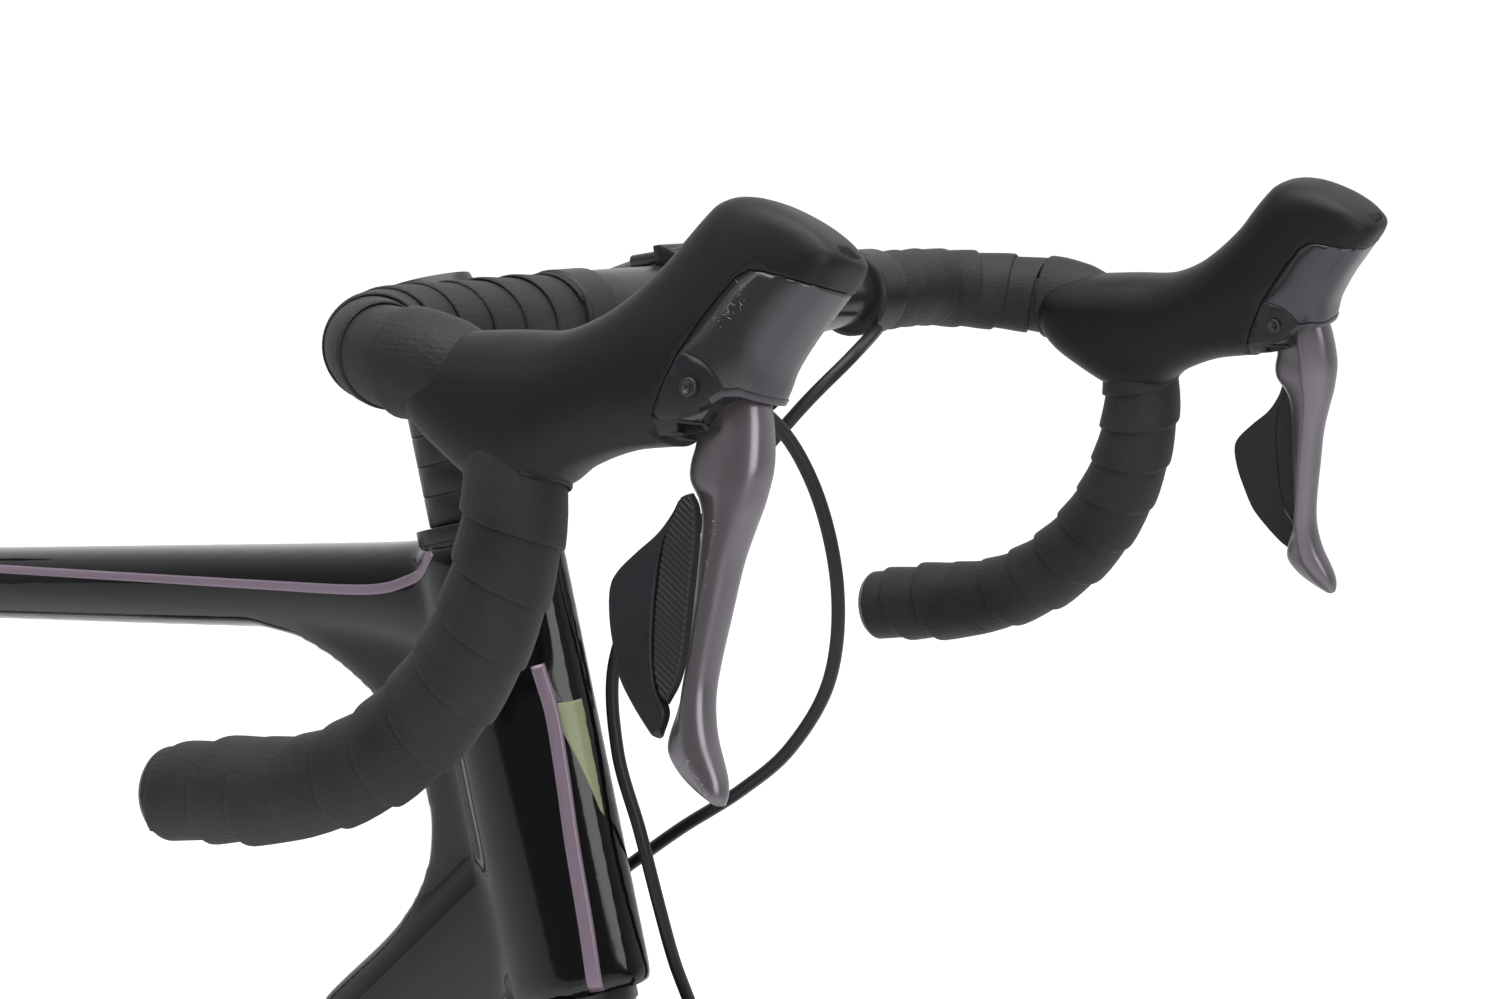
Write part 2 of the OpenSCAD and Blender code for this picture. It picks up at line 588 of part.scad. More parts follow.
// ---- wheels ----
tyre_c = wheel_r - tyre_w / 2;
rim_out = bead_d / 2 + 2;
module spin_y(c) { translate(c) rotate([-90, 0, 0]) children(); }
module tyre(c) {
    spin_y(c) rotate_extrude($fn = 120) difference() {
        translate([tyre_c, 0]) circle(r = tyre_w / 2, $fn = 32);
        translate([tyre_c, 0]) circle(r = tyre_w / 2 - 2.5, $fn = 32);
        translate([0, -20]) square([rim_out + e, 40]);
    }
}
// Half hollow section, its walls thinned by wall and its outer side opened by up
function rim_outline(wall, up) = [
    [rim_out + up, -11.5 + wall], [rim_out - 12, -13 + wall], [rim_out - rim_depth * 0.6, -11 + wall],
    [rim_out - rim_depth + wall, -4 + wall / 2], [rim_out - rim_depth + wall, 4 - wall / 2],
    [rim_out - rim_depth * 0.6, 11 - wall], [rim_out - 12, 13 - wall], [rim_out + up, 11.5 - wall]];
module rim(c) {
    spin_y(c) rotate_extrude($fn = 120) difference() {
        polygon(rim_outline(0, 0));
        polygon(rim_outline(2, 1));
    }
}
// Hub shell, flanges, rotor carrier and rotor, and the spokes that join it to the rim
module hub(c, half, flange_l, flange_r, rotor_y) {
    difference() {
        union() {
            across(c, 12, flange_r, flange_l);
            across(c, 9.5, -half, half);
            across(c, 22, flange_l - 1.6, flange_l + 1.6);
            across(c, 24, flange_r - 1.6, flange_r + 1.6);
            across(c, 19, rotor_y - 5, rotor_y - 0.9);
            difference() {
                across(c, rotor_r, rotor_y - rotor_t / 2, rotor_y + rotor_t / 2);
                translate(c + [0, rotor_y, 0]) for (i = [0:9]) rotate([0, 36 * i, 0])
                    translate([40, 0, 0]) rotate([90, 0, 0]) cylinder(h = 10, r = 8.5, center = true);
                translate(c + [0, rotor_y, 0]) for (i = [0:29]) rotate([0, 12 * i, 0])
                    translate([i % 2 == 0 ? 60 : 65, 0, 0]) rotate([90, 0, 0]) cylinder(h = 10, r = 2.2, center = true);
            }
        }
        across(c, axle_r + fit, -90, 90);
    }
    for (i = [0:spokes - 1]) translate(c) rotate([0, 360 / spokes * (i + 0.5), 0]) {
        flange_y = i % 2 == 0 ? flange_l : flange_r;
        lag = (i % 4 < 2 ? 1 : -1) * 14;
        rod([20 * cos(lag), flange_y, 20 * sin(lag)], [rim_out - rim_depth - 0.02, 0, 0], 0.9);
    }
}
module front_tyre() { color([0.06, 0.06, 0.06]) tyre(front_axle); }
module rear_tyre() { color([0.06, 0.06, 0.06]) tyre(rear_axle); }
module front_rim() { color([0.05, 0.05, 0.055]) rim(front_axle); }
module rear_rim() { color([0.05, 0.05, 0.055]) rim(rear_axle); }
module front_hub() { color([0.1, 0.1, 0.11]) hub(front_axle, hub_front - gap, 24, -34, front_rotor_y); }
module rear_hub() { color([0.1, 0.1, 0.11]) hub(rear_axle, hub_rear - gap, 32, -18, rear_rotor_y); }

// ---- sprockets and chain ----
chain_y = -47.5;
inner_ring_y = -40;
cog_step = 3.74;
cog_teeth = [11, 12, 13, 14, 15, 17, 19, 21, 24, 27, 30];
chain_cog = 17;
cog_y = chain_y - 5 * cog_step;   // the smallest cog, furthest out
pulley_teeth = 11;
plate_gap = 1.3;     // half the space between the chain's side plates
plate_t = 1.3;
plate_h = 8.4;
function pitch_r(n) = pitch / 2 / sin(180 / n);
// One tooth: fractions of a pitch and heights above the pitch circle
tooth = [[0.1, -3.4], [0.3, -1.6], [0.44, 1.7], [0.56, 1.7], [0.7, -1.6], [0.9, -3.4]];
module sprocket(n, t, inner) {
    r = pitch_r(n);
    step = 360 / n;
    linear_extrude(t, center = true) difference() {
        polygon([for (i = [0:n - 1], q = tooth) [cos((i + q[0]) * step), sin((i + q[0]) * step)] * (r + q[1])]);
        circle(r = inner);
    }
}
module at_y(c, y) { translate([c[0], y, c[2]]) rotate([-90, 0, 0]) children(); }
module cassette() {
    color([0.55, 0.55, 0.56]) difference() {
        union() {
            for (i = [0:len(cog_teeth) - 1]) at_y(rear_axle, cog_y + i * cog_step) sprocket(cog_teeth[i], 1.5, 15);
            across(rear_axle, 17, cog_y - 0.8, cog_y + 10 * cog_step + 3);
        }
        across(rear_axle, 9.5 + fit, -90, 0);
    }
}
module chainrings() {
    color([0.12, 0.12, 0.13]) {
        at_y(bb, chain_y) sprocket(big_ring, 1.8, 52);
        at_y(bb, inner_ring_y) sprocket(small_ring, 1.8, 50);
    }
}
guide_at = rear_axle + [12, 0, -92];
tension_at = guide_at + [34, 0, -44];
// The chain's line: each circle's centre and its radius, negative where it turns the other way
chain_on = [[bb, pitch_r(big_ring)], [rear_axle, pitch_r(chain_cog)],
            [guide_at, -pitch_r(pulley_teeth)], [tension_at, pitch_r(pulley_teeth)]];
function heading(a, b) = let (d = b[0] - a[0], far = norm([d[0], d[2]])) atan2(d[2], d[0]) - asin((b[1] - a[1]) / far);
function on_circle(c, h, out = 0) = c[0] + (c[1] + out) * [sin(h), 0, -cos(h)];
function turned(a, h) = h - a > 180 ? turned(a, h - 360) : h - a < -180 ? turned(a, h + 360) : h;
headings = [for (i = [0:3]) heading(chain_on[i], chain_on[(i + 1) % 4])];
function chain_line(out) = [for (i = [0:3]) let (c = chain_on[i], h0 = headings[(i + 3) % 4],
        raw = turned(h0, headings[i]), h1 = c[1] > 0 && raw < h0 ? raw + 360 : c[1] < 0 && raw > h0 ? raw - 360 : raw,
        k = ceil(abs(h1 - h0) / 15)) for (j = [0:k]) let (p = on_circle(c, mix(h0, h1, j / k), out)) [p[0], p[2]]];
module chain_plate(y0, y1) {
    difference() {
        plate_xz(chain_line(plate_h / 2), y0, y1);
        plate_xz(chain_line(-plate_h / 2), y0 - 1, y1 + 1);
    }
}
// Rollers in the two long runs, clear of every tooth
module rollers(i) {
    a = on_circle(chain_on[i], headings[i]);
    b = on_circle(chain_on[(i + 1) % 4], headings[i]);
    count = floor(norm(b - a) / pitch);
    for (k = [4:count - 4]) across(a + unit(b - a) * pitch * k, 3.6, chain_y - plate_gap - e, chain_y + plate_gap + e);
}
module chain() {
    color([0.5, 0.5, 0.52]) {
        chain_plate(chain_y + plate_gap, chain_y + plate_gap + plate_t);
        chain_plate(chain_y - plate_gap - plate_t, chain_y - plate_gap);
        rollers(0);
        rollers(3);
    }
}

// ---- crankset and pedals: right arm forward, left arm back ----
pedal_r_at = bb + [crank_len, 0, 0];
pedal_l_at = bb - [crank_len, 0, 0];
module arm(dir, y_bb, y_end) {
    stay([bb + [dir * 4, y_bb, 0], bb + [dir * 60, mix(y_bb, y_end, 0.45), 0],
          bb + [dir * 130, mix(y_bb, y_end, 0.9), 0], bb + [dir * (crank_len + 2), y_end, 0]],
         [19, 14, 12, 11], [8, 7, 6.5, 6]);
    across(bb + [dir * crank_len, 0, 0], 13, y_end - 6, y_end + 6);
}
module crank_right() {
    color([0.06, 0.06, 0.065]) {
        across(bb, 12, -66, 64);
        difference() {
            union() {
                arm(1, -60, -70);
                across(bb, 24, -66, -42);
                translate([bb[0], 0, bb[2]]) for (i = [0:3]) rotate([0, 45 + 90 * i, 0])
                    translate([14, -46.4, -8]) cube([47, 5.3, 16]);
            }
            across(bb, 12 - e, -80, 0);
        }
        across(pedal_r_at, 4, -128, -64);
    }
}
module crank_left() {
    color([0.06, 0.06, 0.065]) {
        difference() {
            union() { arm(-1, 58, 70); across(bb, 20, 43, 64); }
            across(bb, 12 + e, 0, 80);
        }
        across(pedal_l_at, 4, 64, 128);
    }
}
module pedal(c, y0, y1) {
    difference() {
        union() {
            across(c, 9, y0, y1);
            translate([c[0] - 32, y0 + 6, c[2] - 7]) cube([64, y1 - y0 - 12, 14]);
        }
        across(c, 4 + fit, y0 - 1, y1 + 1);
        for (dx = [-18, 18]) translate([c[0] + dx, (y0 + y1) / 2, c[2]])
            translate([-7, -13, -10]) cube([14, 26, 20]);
    }
}
module pedal_right() { color([0.08, 0.08, 0.085]) pedal(pedal_r_at, -127, -77); }
module pedal_left() { color([0.08, 0.08, 0.085]) pedal(pedal_l_at, 77, 127); }

// ---- front derailleur ----
fd_foot = bb + 148 * seat_up;
module front_derailleur() {
    color([0.1, 0.1, 0.105]) difference() {
        union() {
            translate(fd_foot + [-12, -38, -16]) cube([24, 26, 34]);
            translate(fd_foot + [-26, -37, -4]) cube([16, 20, 22]);
        }
        seat_envelope();
    }
}
function cage_arc(r, a0, a1) = [for (i = [0:8]) let (a = mix(a0, a1, i / 8)) [bb[0] + r * cos(a), bb[2] + r * sin(a)]];
module front_derailleur_cage() {
    color([0.45, 0.45, 0.47]) {
        for (y = [[chain_y - 6.2, chain_y - 4.8], [chain_y + 4.8, chain_y + 6.2]])
            plate_xz(concat(cage_arc(106, 84, 126), cage_arc(122, 124, 88)), y[0], y[1]);
        plate_xz(concat(cage_arc(106, 122, 126), cage_arc(107.5, 126, 122)), chain_y - 6, chain_y + 6);
        plate_xz(concat(cage_arc(119, 92, 98), cage_arc(122, 98, 92)), chain_y - 6, chain_y + 6);
        plate_xz([[fd_foot[0] - 8, fd_foot[2] - 30], [fd_foot[0] + 8, fd_foot[2] - 30],
                  [fd_foot[0] + 8, fd_foot[2] - 17], [fd_foot[0] - 8, fd_foot[2] - 17]], chain_y + 6.2, -33);
    }
}

// ---- rear derailleur ----
link_a = [hanger[0] + 5, -86, hanger[2] - 16];
link_b = [guide_at[0] - 6, -86, guide_at[2] + 12];
module rear_derailleur_base() {
    color([0.08, 0.08, 0.085]) {
        across(hanger, 4.15, -90, -70);
        across(hanger, 9, -92, -78.2);
        difference() {
            translate([link_a[0] - 14, -93, link_a[2] - 7]) cube([28, 14, 19]);
            translate([link_a[0] - 9, -95, link_a[2] - 9]) cube([18, 18, 16]);
            rod(link_a - [30, 0, 0], link_a + [30, 0, 0], 2.2);
        }
        rod(link_a - [13.9, 0, 0], link_a + [13.9, 0, 0], 2.2);
    }
}
module rear_derailleur_link() {
    color([0.12, 0.12, 0.125]) difference() {
        union() {
            rod(link_a - [8.6, 0, 0], link_a + [8.6, 0, 0], 5.5);
            rod(link_b - [8.6, 0, 0], link_b + [8.6, 0, 0], 5.5);
            hull() {
                rod(link_a - [5, 0, 0], link_a + [5, 0, 0], 4.6);
                rod(link_b - [5, 0, 0], link_b + [5, 0, 0], 4.6);
            }
        }
        rod(link_a - [30, 0, 0], link_a + [30, 0, 0], 2.2 + fit);
        rod(link_b - [30, 0, 0], link_b + [30, 0, 0], 2.2 + fit);
    }
}
knuckle_at = [guide_at[0] - 6, 0, guide_at[2] - 4];
module rear_derailleur_knuckle() {
    color([0.08, 0.08, 0.085]) {
        difference() {
            union() {
                translate([link_b[0] - 14, -93, link_b[2] - 9]) cube([28, 14, 18]);
                across(knuckle_at, 12, -93, -62);
            }
            translate([link_b[0] - 9, -95, link_b[2] - 7]) cube([18, 30, 20]);
            rod(link_b - [30, 0, 0], link_b + [30, 0, 0], 2.2);
            across(knuckle_at, 5, -70, -60);
        }
        rod(link_b - [13.9, 0, 0], link_b + [13.9, 0, 0], 2.2);
    }
}
module cage_plate(y0, y1) {
    d = unit(tension_at - guide_at);
    n = [-d[2], 0, d[0]];
    across(guide_at, 11, y0, y1);
    across(tension_at, 9, y0, y1);
    plate_xz([for (p = [guide_at + 11 * n, guide_at - 11 * n, tension_at - 9 * n, tension_at + 9 * n]) [p[0], p[2]]], y0, y1);
}
module rear_derailleur_cage() {
    color([0.1, 0.1, 0.105]) {
        cage_plate(chain_y - 6, chain_y - 4.2);
        cage_plate(chain_y + 4.2, chain_y + 6);
        across(guide_at, 2.5, chain_y - 5, chain_y + 5);
        across(tension_at, 2.5, chain_y - 5, chain_y + 5);
        across(knuckle_at, 4.95, -69.5, chain_y - 5);
    }
}
module pulley(c) {
    difference() {
        at_y(c, chain_y) sprocket(pulley_teeth, 1.8, 3);
        across(c, 2.5 + fit, -60, -30);
    }
    difference() {
        across(c, 9, chain_y - 2.4, chain_y + 2.4);
        across(c, 2.5 + fit, -60, -30);
    }
}
module guide_pulley() { color([0.06, 0.06, 0.06]) pulley(guide_at); }
module tension_pulley() { color([0.06, 0.06, 0.06]) pulley(tension_at); }

head_tube();
top_tube();
down_tube();
seat_tube();
chainstays();
seatstays();
bearing_cups();
bottle_bosses();
seatpost();
seat_clamp();
saddle_base();
saddle_pad();
rear_thru_axle();
rear_caliper();
rear_pad_inner();
rear_pad_outer();
front_derailleur();
front_derailleur_cage();
chain();
rear_hose();
rear_derailleur_base();
rear_derailleur_link();
rear_derailleur_knuckle();
rear_derailleur_cage();
guide_pulley();
tension_pulley();
fork();
front_thru_axle();
front_caliper();
front_pad_inner();
front_pad_outer();
front_hose();
spacers();
stem();
faceplate();
stem_bolts();
handlebar();
bar_tape();
bar_plugs();
lever_bodies();
hoods();
pivot_pins();
brake_lever_right();
brake_lever_left();
shift_paddle_right();
shift_paddle_left();
shift_button_right();
shift_button_left();
front_tyre();
front_rim();
front_hub();
rear_tyre();
rear_rim();
rear_hub();
cassette();
crank_right();
crank_left();
chainrings();
pedal_right();
pedal_left();
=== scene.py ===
"""Road bicycle with disc brakes: the visible surfaces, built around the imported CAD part.

Lengths in the shape code are millimetres in the row frame (+X forward, +Y the rider's left,
+Z up), and turn to metres where a mesh is made. Every random draw is seeded.
"""
import json
import math

import bmesh
import bpy
import numpy as np
from mathutils import Matrix, Vector
from mathutils.bvhtree import BVHTree


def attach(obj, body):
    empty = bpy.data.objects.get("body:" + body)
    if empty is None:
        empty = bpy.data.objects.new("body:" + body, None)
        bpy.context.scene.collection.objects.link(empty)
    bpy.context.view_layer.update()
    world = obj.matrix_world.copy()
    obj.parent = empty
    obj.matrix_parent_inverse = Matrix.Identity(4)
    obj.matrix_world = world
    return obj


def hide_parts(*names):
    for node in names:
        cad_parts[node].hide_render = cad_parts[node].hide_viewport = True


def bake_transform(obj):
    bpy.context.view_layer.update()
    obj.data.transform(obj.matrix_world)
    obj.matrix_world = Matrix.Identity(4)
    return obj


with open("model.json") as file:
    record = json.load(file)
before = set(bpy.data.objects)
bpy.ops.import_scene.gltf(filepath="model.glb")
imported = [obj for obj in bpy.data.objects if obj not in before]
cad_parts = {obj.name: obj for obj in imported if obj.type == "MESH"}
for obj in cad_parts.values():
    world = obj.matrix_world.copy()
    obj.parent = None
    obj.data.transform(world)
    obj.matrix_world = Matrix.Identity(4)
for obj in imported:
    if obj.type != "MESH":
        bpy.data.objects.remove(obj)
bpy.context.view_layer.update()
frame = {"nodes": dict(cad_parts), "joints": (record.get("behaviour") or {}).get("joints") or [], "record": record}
joints = {j["name"]: j for j in frame["joints"]}
rng = np.random.default_rng(11)
MM = 0.001


def place(name):
    """Where a joint turns, in millimetres."""
    return np.array(joints[name]["pos_m"]) * 1000


# ---- places that the frame gives ----
crown = place("steering_turn")
steer_up = np.array(joints["steering_turn"]["axis"])
steer_fwd = np.array([steer_up[2], 0, -steer_up[0]])
front_axle, rear_axle, bb = place("front_wheel_spin"), place("rear_wheel_spin"), place("crank_spin")
LEAN = math.radians(10)          # inward lean of the lever bodies
PIVOT = np.array([10.0, 0, 4])   # the brake pivot in the lever's own frame


def lean(p):
    """A direction in the right lever's own frame, turned into the row frame."""
    p = np.asarray(p, float)
    y, z = p[..., 1], p[..., 2]
    c, s = math.cos(LEAN), math.sin(LEAN)
    return np.stack([p[..., 0], y * c + z * s, -y * s + z * c], -1)


lever_at = place("brake_right_pull") - lean(PIVOT)
bar_at = lever_at * [1, 0, 1] - [137, 0, -2]
seat_up = np.array([-math.cos(math.radians(73.5)), 0, math.sin(math.radians(73.5))])
HEAD_LEN = 186
SADDLE_UP = 698                  # from the bottom bracket to the saddle rails, along the seat tube
BOTH_WAYS = 40                   # far enough across a lever for any cut
UP, SIDE, FWD = np.array([0, 0, 1.0]), np.array([0, 1.0, 0]), np.array([1.0, 0, 0])


# ---- mesh helpers ----
def unit(v):
    return np.asarray(v, float) / np.linalg.norm(v)


def spline(points, n, closed=False):
    """n points on a Catmull-Rom curve through the given ones, evenly spaced in its parameter."""
    p = np.asarray(points, float)
    before, after = (p[-1:], p[:2]) if closed else ([2 * p[0] - p[1]], [2 * p[-1] - p[-2]])
    p = np.concatenate([before, p, after])
    last = len(p) - 3
    t = np.linspace(0, last, n, endpoint=not closed)
    i = np.minimum(t.astype(int), last - 1)
    f = (t - i)[:, None]
    a, b, c, d = p[i], p[i + 1], p[i + 2], p[i + 3]
    return 0.5 * (2 * b + (c - a) * f + (2 * a - 5 * b + 4 * c - d) * f**2 + (3 * b - a - 3 * c + d) * f**3)


def resample(path, step):
    """The same curve with points a constant step apart."""
    p = np.asarray(path, float)
    s = np.concatenate([[0], np.cumsum(np.linalg.norm(np.diff(p, axis=0), axis=1))])
    at = np.linspace(0, s[-1], max(2, int(s[-1] / step) + 1))
    return np.stack([np.interp(at, s, p[:, k]) for k in range(3)], 1), at


def mesh_piece(name, verts, faces, mat, smooth=True):
    mesh = bpy.data.meshes.new(name)
    mesh.from_pydata([tuple(v) for v in np.asarray(verts, float) * MM], [],
            [tuple(int(i) for i in f) for f in faces])
    mesh.validate()
    obj = bpy.data.objects.new(name, mesh)
    bpy.context.scene.collection.objects.link(obj)
    mesh.materials.append(mat)
    mesh.polygons.foreach_set("use_smooth", [smooth] * len(mesh.polygons))
    fix_normals(obj)
    return obj


def fix_normals(obj):
    bm = bmesh.new()
    bm.from_mesh(obj.data)
    bmesh.ops.recalc_face_normals(bm, faces=bm.faces)
    bm.to_mesh(obj.data)
    bm.free()


def grid_faces(rows, cols, start=0, wrap=True):
    faces = []
    for j in range(rows - 1):
        for i in range(cols if wrap else cols - 1):
            k = (i + 1) % cols
            a = start + j * cols
            faces.append((a + i, a + k, a + cols + k, a + cols + i))
    return faces


def loft(rings):
    """Vertices and faces of a closed skin over rings of equal length, with both ends capped."""
    rings = np.asarray(rings, float)
    m, n = rings.shape[:2]
    faces = grid_faces(m, n)
    faces += [tuple(range(n)), tuple((m - 1) * n + i for i in reversed(range(n)))]
    return rings.reshape(-1, 3), faces


def together(*parts):
    """Several (vertices, faces) as one."""
    verts, faces = [], []
    for v, f in parts:
        faces += [tuple(i + len(verts) for i in q) for q in f]
        verts += [tuple(p) for p in v]
    return np.array(verts), faces


def oval(c, u, v, a, b, power=2.0, n=32):
    t = np.linspace(0, 2 * math.pi, n, endpoint=False)
    x, y = np.cos(t), np.sin(t)
    x, y = np.sign(x) * np.abs(x) ** (2 / power), np.sign(y) * np.abs(y) ** (2 / power)
    return np.asarray(c) + np.outer(x * a, u) + np.outer(y * b, v)


def frames(path, start=(0.3, 0.2, 1)):
    """Tangent, normal and binormal along a path, turning as little as possible."""
    p = np.asarray(path, float)
    tangent = np.gradient(p, axis=0)
    tangent /= np.linalg.norm(tangent, axis=1)[:, None]
    normal = np.zeros_like(tangent)
    last = np.asarray(start, float)
    for i, t in enumerate(tangent):
        last = unit(last - t * (last @ t))
        normal[i] = last
    return tangent, normal, np.cross(tangent, normal)


def tube(path, radius, n=16, start=(0.3, 0.2, 1)):
    _, u, v = frames(path, start)
    r = np.broadcast_to(radius, len(path))
    return loft([oval(c, u[i], v[i], r[i], r[i], 2, n) for i, c in enumerate(path)])


def turned(c, axis, profile, n=64):
    """A body of revolution: profile is (distance along axis, radius) pairs, closed at both ends."""
    axis = unit(axis)
    u = unit(np.cross(axis, FWD if abs(axis[0]) < 0.9 else UP))
    v = np.cross(axis, u)
    return loft([oval(np.asarray(c) + axis * a, u, v, max(r, 0.01), max(r, 0.01), 2, n) for a, r in profile])


def applied(obj):
    """The object with its modifiers made real."""
    bpy.context.view_layer.update()
    done = bpy.data.meshes.new_from_object(obj.evaluated_get(bpy.context.evaluated_depsgraph_get()))
    old, obj.data = obj.data, done
    obj.modifiers.clear()
    bpy.data.meshes.remove(old)
    return obj


def modified(obj, kind, **settings):
    mod = obj.modifiers.new(kind, kind)
    for key, value in settings.items():
        setattr(mod, key, value)
    return applied(obj)


def cut(obj, other, operation="DIFFERENCE"):
    """Takes the other object from this one, or keeps only what they share, and deletes the other."""
    modified(obj, "BOOLEAN", operation=operation, object=other, solver="EXACT")
    bpy.data.objects.remove(other)
    return obj


def subdivided(obj, levels=1):
    return modified(obj, "SUBSURF", levels=levels, render_levels=levels)


def softened(obj, width=0.4, segments=2, angle=40):
    return modified(obj, "BEVEL", width=width * MM, segments=segments, limit_method="ANGLE",
            angle_limit=math.radians(angle), harden_normals=False)


def skinned(name, parts, mat, voxel, smoothing):
    """Overlapping solids melted into one skin with soft joins."""
    obj = mesh_piece(name, *together(*parts), mat)
    modified(obj, "REMESH", mode="VOXEL", voxel_size=voxel * MM, use_smooth_shade=True)
    modified(obj, "SMOOTH", factor=0.5, iterations=smoothing)
    return obj


def mirrored(obj, name):
    """The same piece on the other side of the mid-plane."""
    twin = bpy.data.objects.new(name, obj.data.copy())
    bpy.context.scene.collection.objects.link(twin)
    twin.data.transform(Matrix.Scale(-1, 4, (0, 1, 0)))
    twin.data.flip_normals()
    return twin


def both(obj, right_body, left_body, nodes=(), slot=None):
    """Rides a right-hand piece and its left-hand twin, and hides the CAD nodes they replace; the slot is not used.
    """
    twin = mirrored(obj, obj.name.replace("right", "left"))
    for piece, body, side in ((obj, right_body, "right"), (twin, left_body, "left")):
        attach(piece, body)
        for n in nodes:
            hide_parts(n.replace("right", side))
    return obj, twin


# ---- materials ----
def material(name, colour, rough, vary=0.15, grain=900.0, bump=0.15, distance=0.0001, rough_vary=0.12,
        spots=6.0,
             metallic=0.0, coat=0.0, coat_rough=0.05, specular=0.5, wear=None, pattern=None, tint=None,
             sheen=0.0):
    """A procedural surface: broad colour and roughness variation, fine grain in the bump,
    optional pattern (bands or cells) and worn patches of another colour."""
    mat = bpy.data.materials.new(name)
    mat.use_nodes = True
    tree = mat.node_tree
    nodes, links = tree.nodes, tree.links
    shader = nodes["Principled BSDF"]

    def node(kind, **inputs):
        made = nodes.new(kind)
        for key, value in inputs.items():
            made.inputs[key.replace("_", " ")].default_value = value
        return made

    where = nodes.new("ShaderNodeTexCoord")
    broad = node("ShaderNodeTexNoise", Scale=spots, Detail=4.0, Roughness=0.6)
    links.new(where.outputs["Object"], broad.inputs["Vector"])
    fine = node("ShaderNodeTexNoise", Scale=grain, Detail=3.0, Roughness=0.65)
    links.new(where.outputs["Object"], fine.inputs["Vector"])
    ramp = nodes.new("ShaderNodeValToRGB")
    low, high = ramp.color_ramp.elements
    low.position, high.position = 0.3, 0.7
    low.color = (*[c * (1 - vary) for c in colour], 1)
    high.color = (*[min(1, c * (1 + vary)) for c in (tint or colour)], 1)
    links.new(broad.outputs["Fac"], ramp.inputs["Fac"])
    colour_out = ramp.outputs["Color"]
    if wear:
        worn_colour, amount = wear
        scratch = node("ShaderNodeTexNoise", Scale=160.0, Detail=6.0, Roughness=0.7, Distortion=1.5)
        links.new(where.outputs["Object"], scratch.inputs["Vector"])
        mask = nodes.new("ShaderNodeMapRange")
        mask.inputs["From Min"].default_value = 0.74 - amount
        mask.inputs["From Max"].default_value = 0.8 - amount
        links.new(scratch.outputs["Fac"], mask.inputs["Value"])
        mix = nodes.new("ShaderNodeMix")
        mix.data_type = "RGBA"
        links.new(mask.outputs["Result"], mix.inputs[0])
        links.new(colour_out, mix.inputs[6])
        mix.inputs[7].default_value = (*worn_colour, 1)
        colour_out = mix.outputs[2]
    links.new(colour_out, shader.inputs["Base Color"])
    spread = nodes.new("ShaderNodeMapRange")
    spread.inputs["To Min"].default_value = max(0.02, rough - rough_vary)
    spread.inputs["To Max"].default_value = min(1, rough + rough_vary)
    links.new(broad.outputs["Fac"], spread.inputs["Value"])
    links.new(spread.outputs["Result"], shader.inputs["Roughness"])
    height = fine.outputs["Fac"]
    if pattern:
        kind, scale, vector = pattern
        if kind == "wave":
            extra = node("ShaderNodeTexWave", Scale=scale, Distortion=0.6, Detail=1.0)
            extra.wave_type = "BANDS"
            extra.bands_direction = vector
            links.new(where.outputs["Object"], extra.inputs["Vector"])
            second = extra.outputs["Fac"]
        else:
            extra = node("ShaderNodeTexVoronoi", Scale=scale, Randomness=0.35)
            links.new(where.outputs[vector], extra.inputs["Vector"])
            second = extra.outputs["Distance"]
        both_heights = nodes.new("ShaderNodeMath")
        both_heights.operation = "ADD"
        links.new(height, both_heights.inputs[0])
        links.new(second, both_heights.inputs[1])
        height = both_heights.outputs[0]
    relief = node("ShaderNodeBump", Strength=bump, Distance=distance)
    links.new(height, relief.inputs["Height"])
    links.new(relief.outputs["Normal"], shader.inputs["Normal"])
    shader.inputs["Metallic"].default_value = metallic
    shader.inputs["Coat Weight"].default_value = coat
    shader.inputs["Coat Roughness"].default_value = coat_rough
    shader.inputs["Specular IOR Level"].default_value = specular
    shader.inputs["Sheen Weight"].default_value = sheen
    return mat


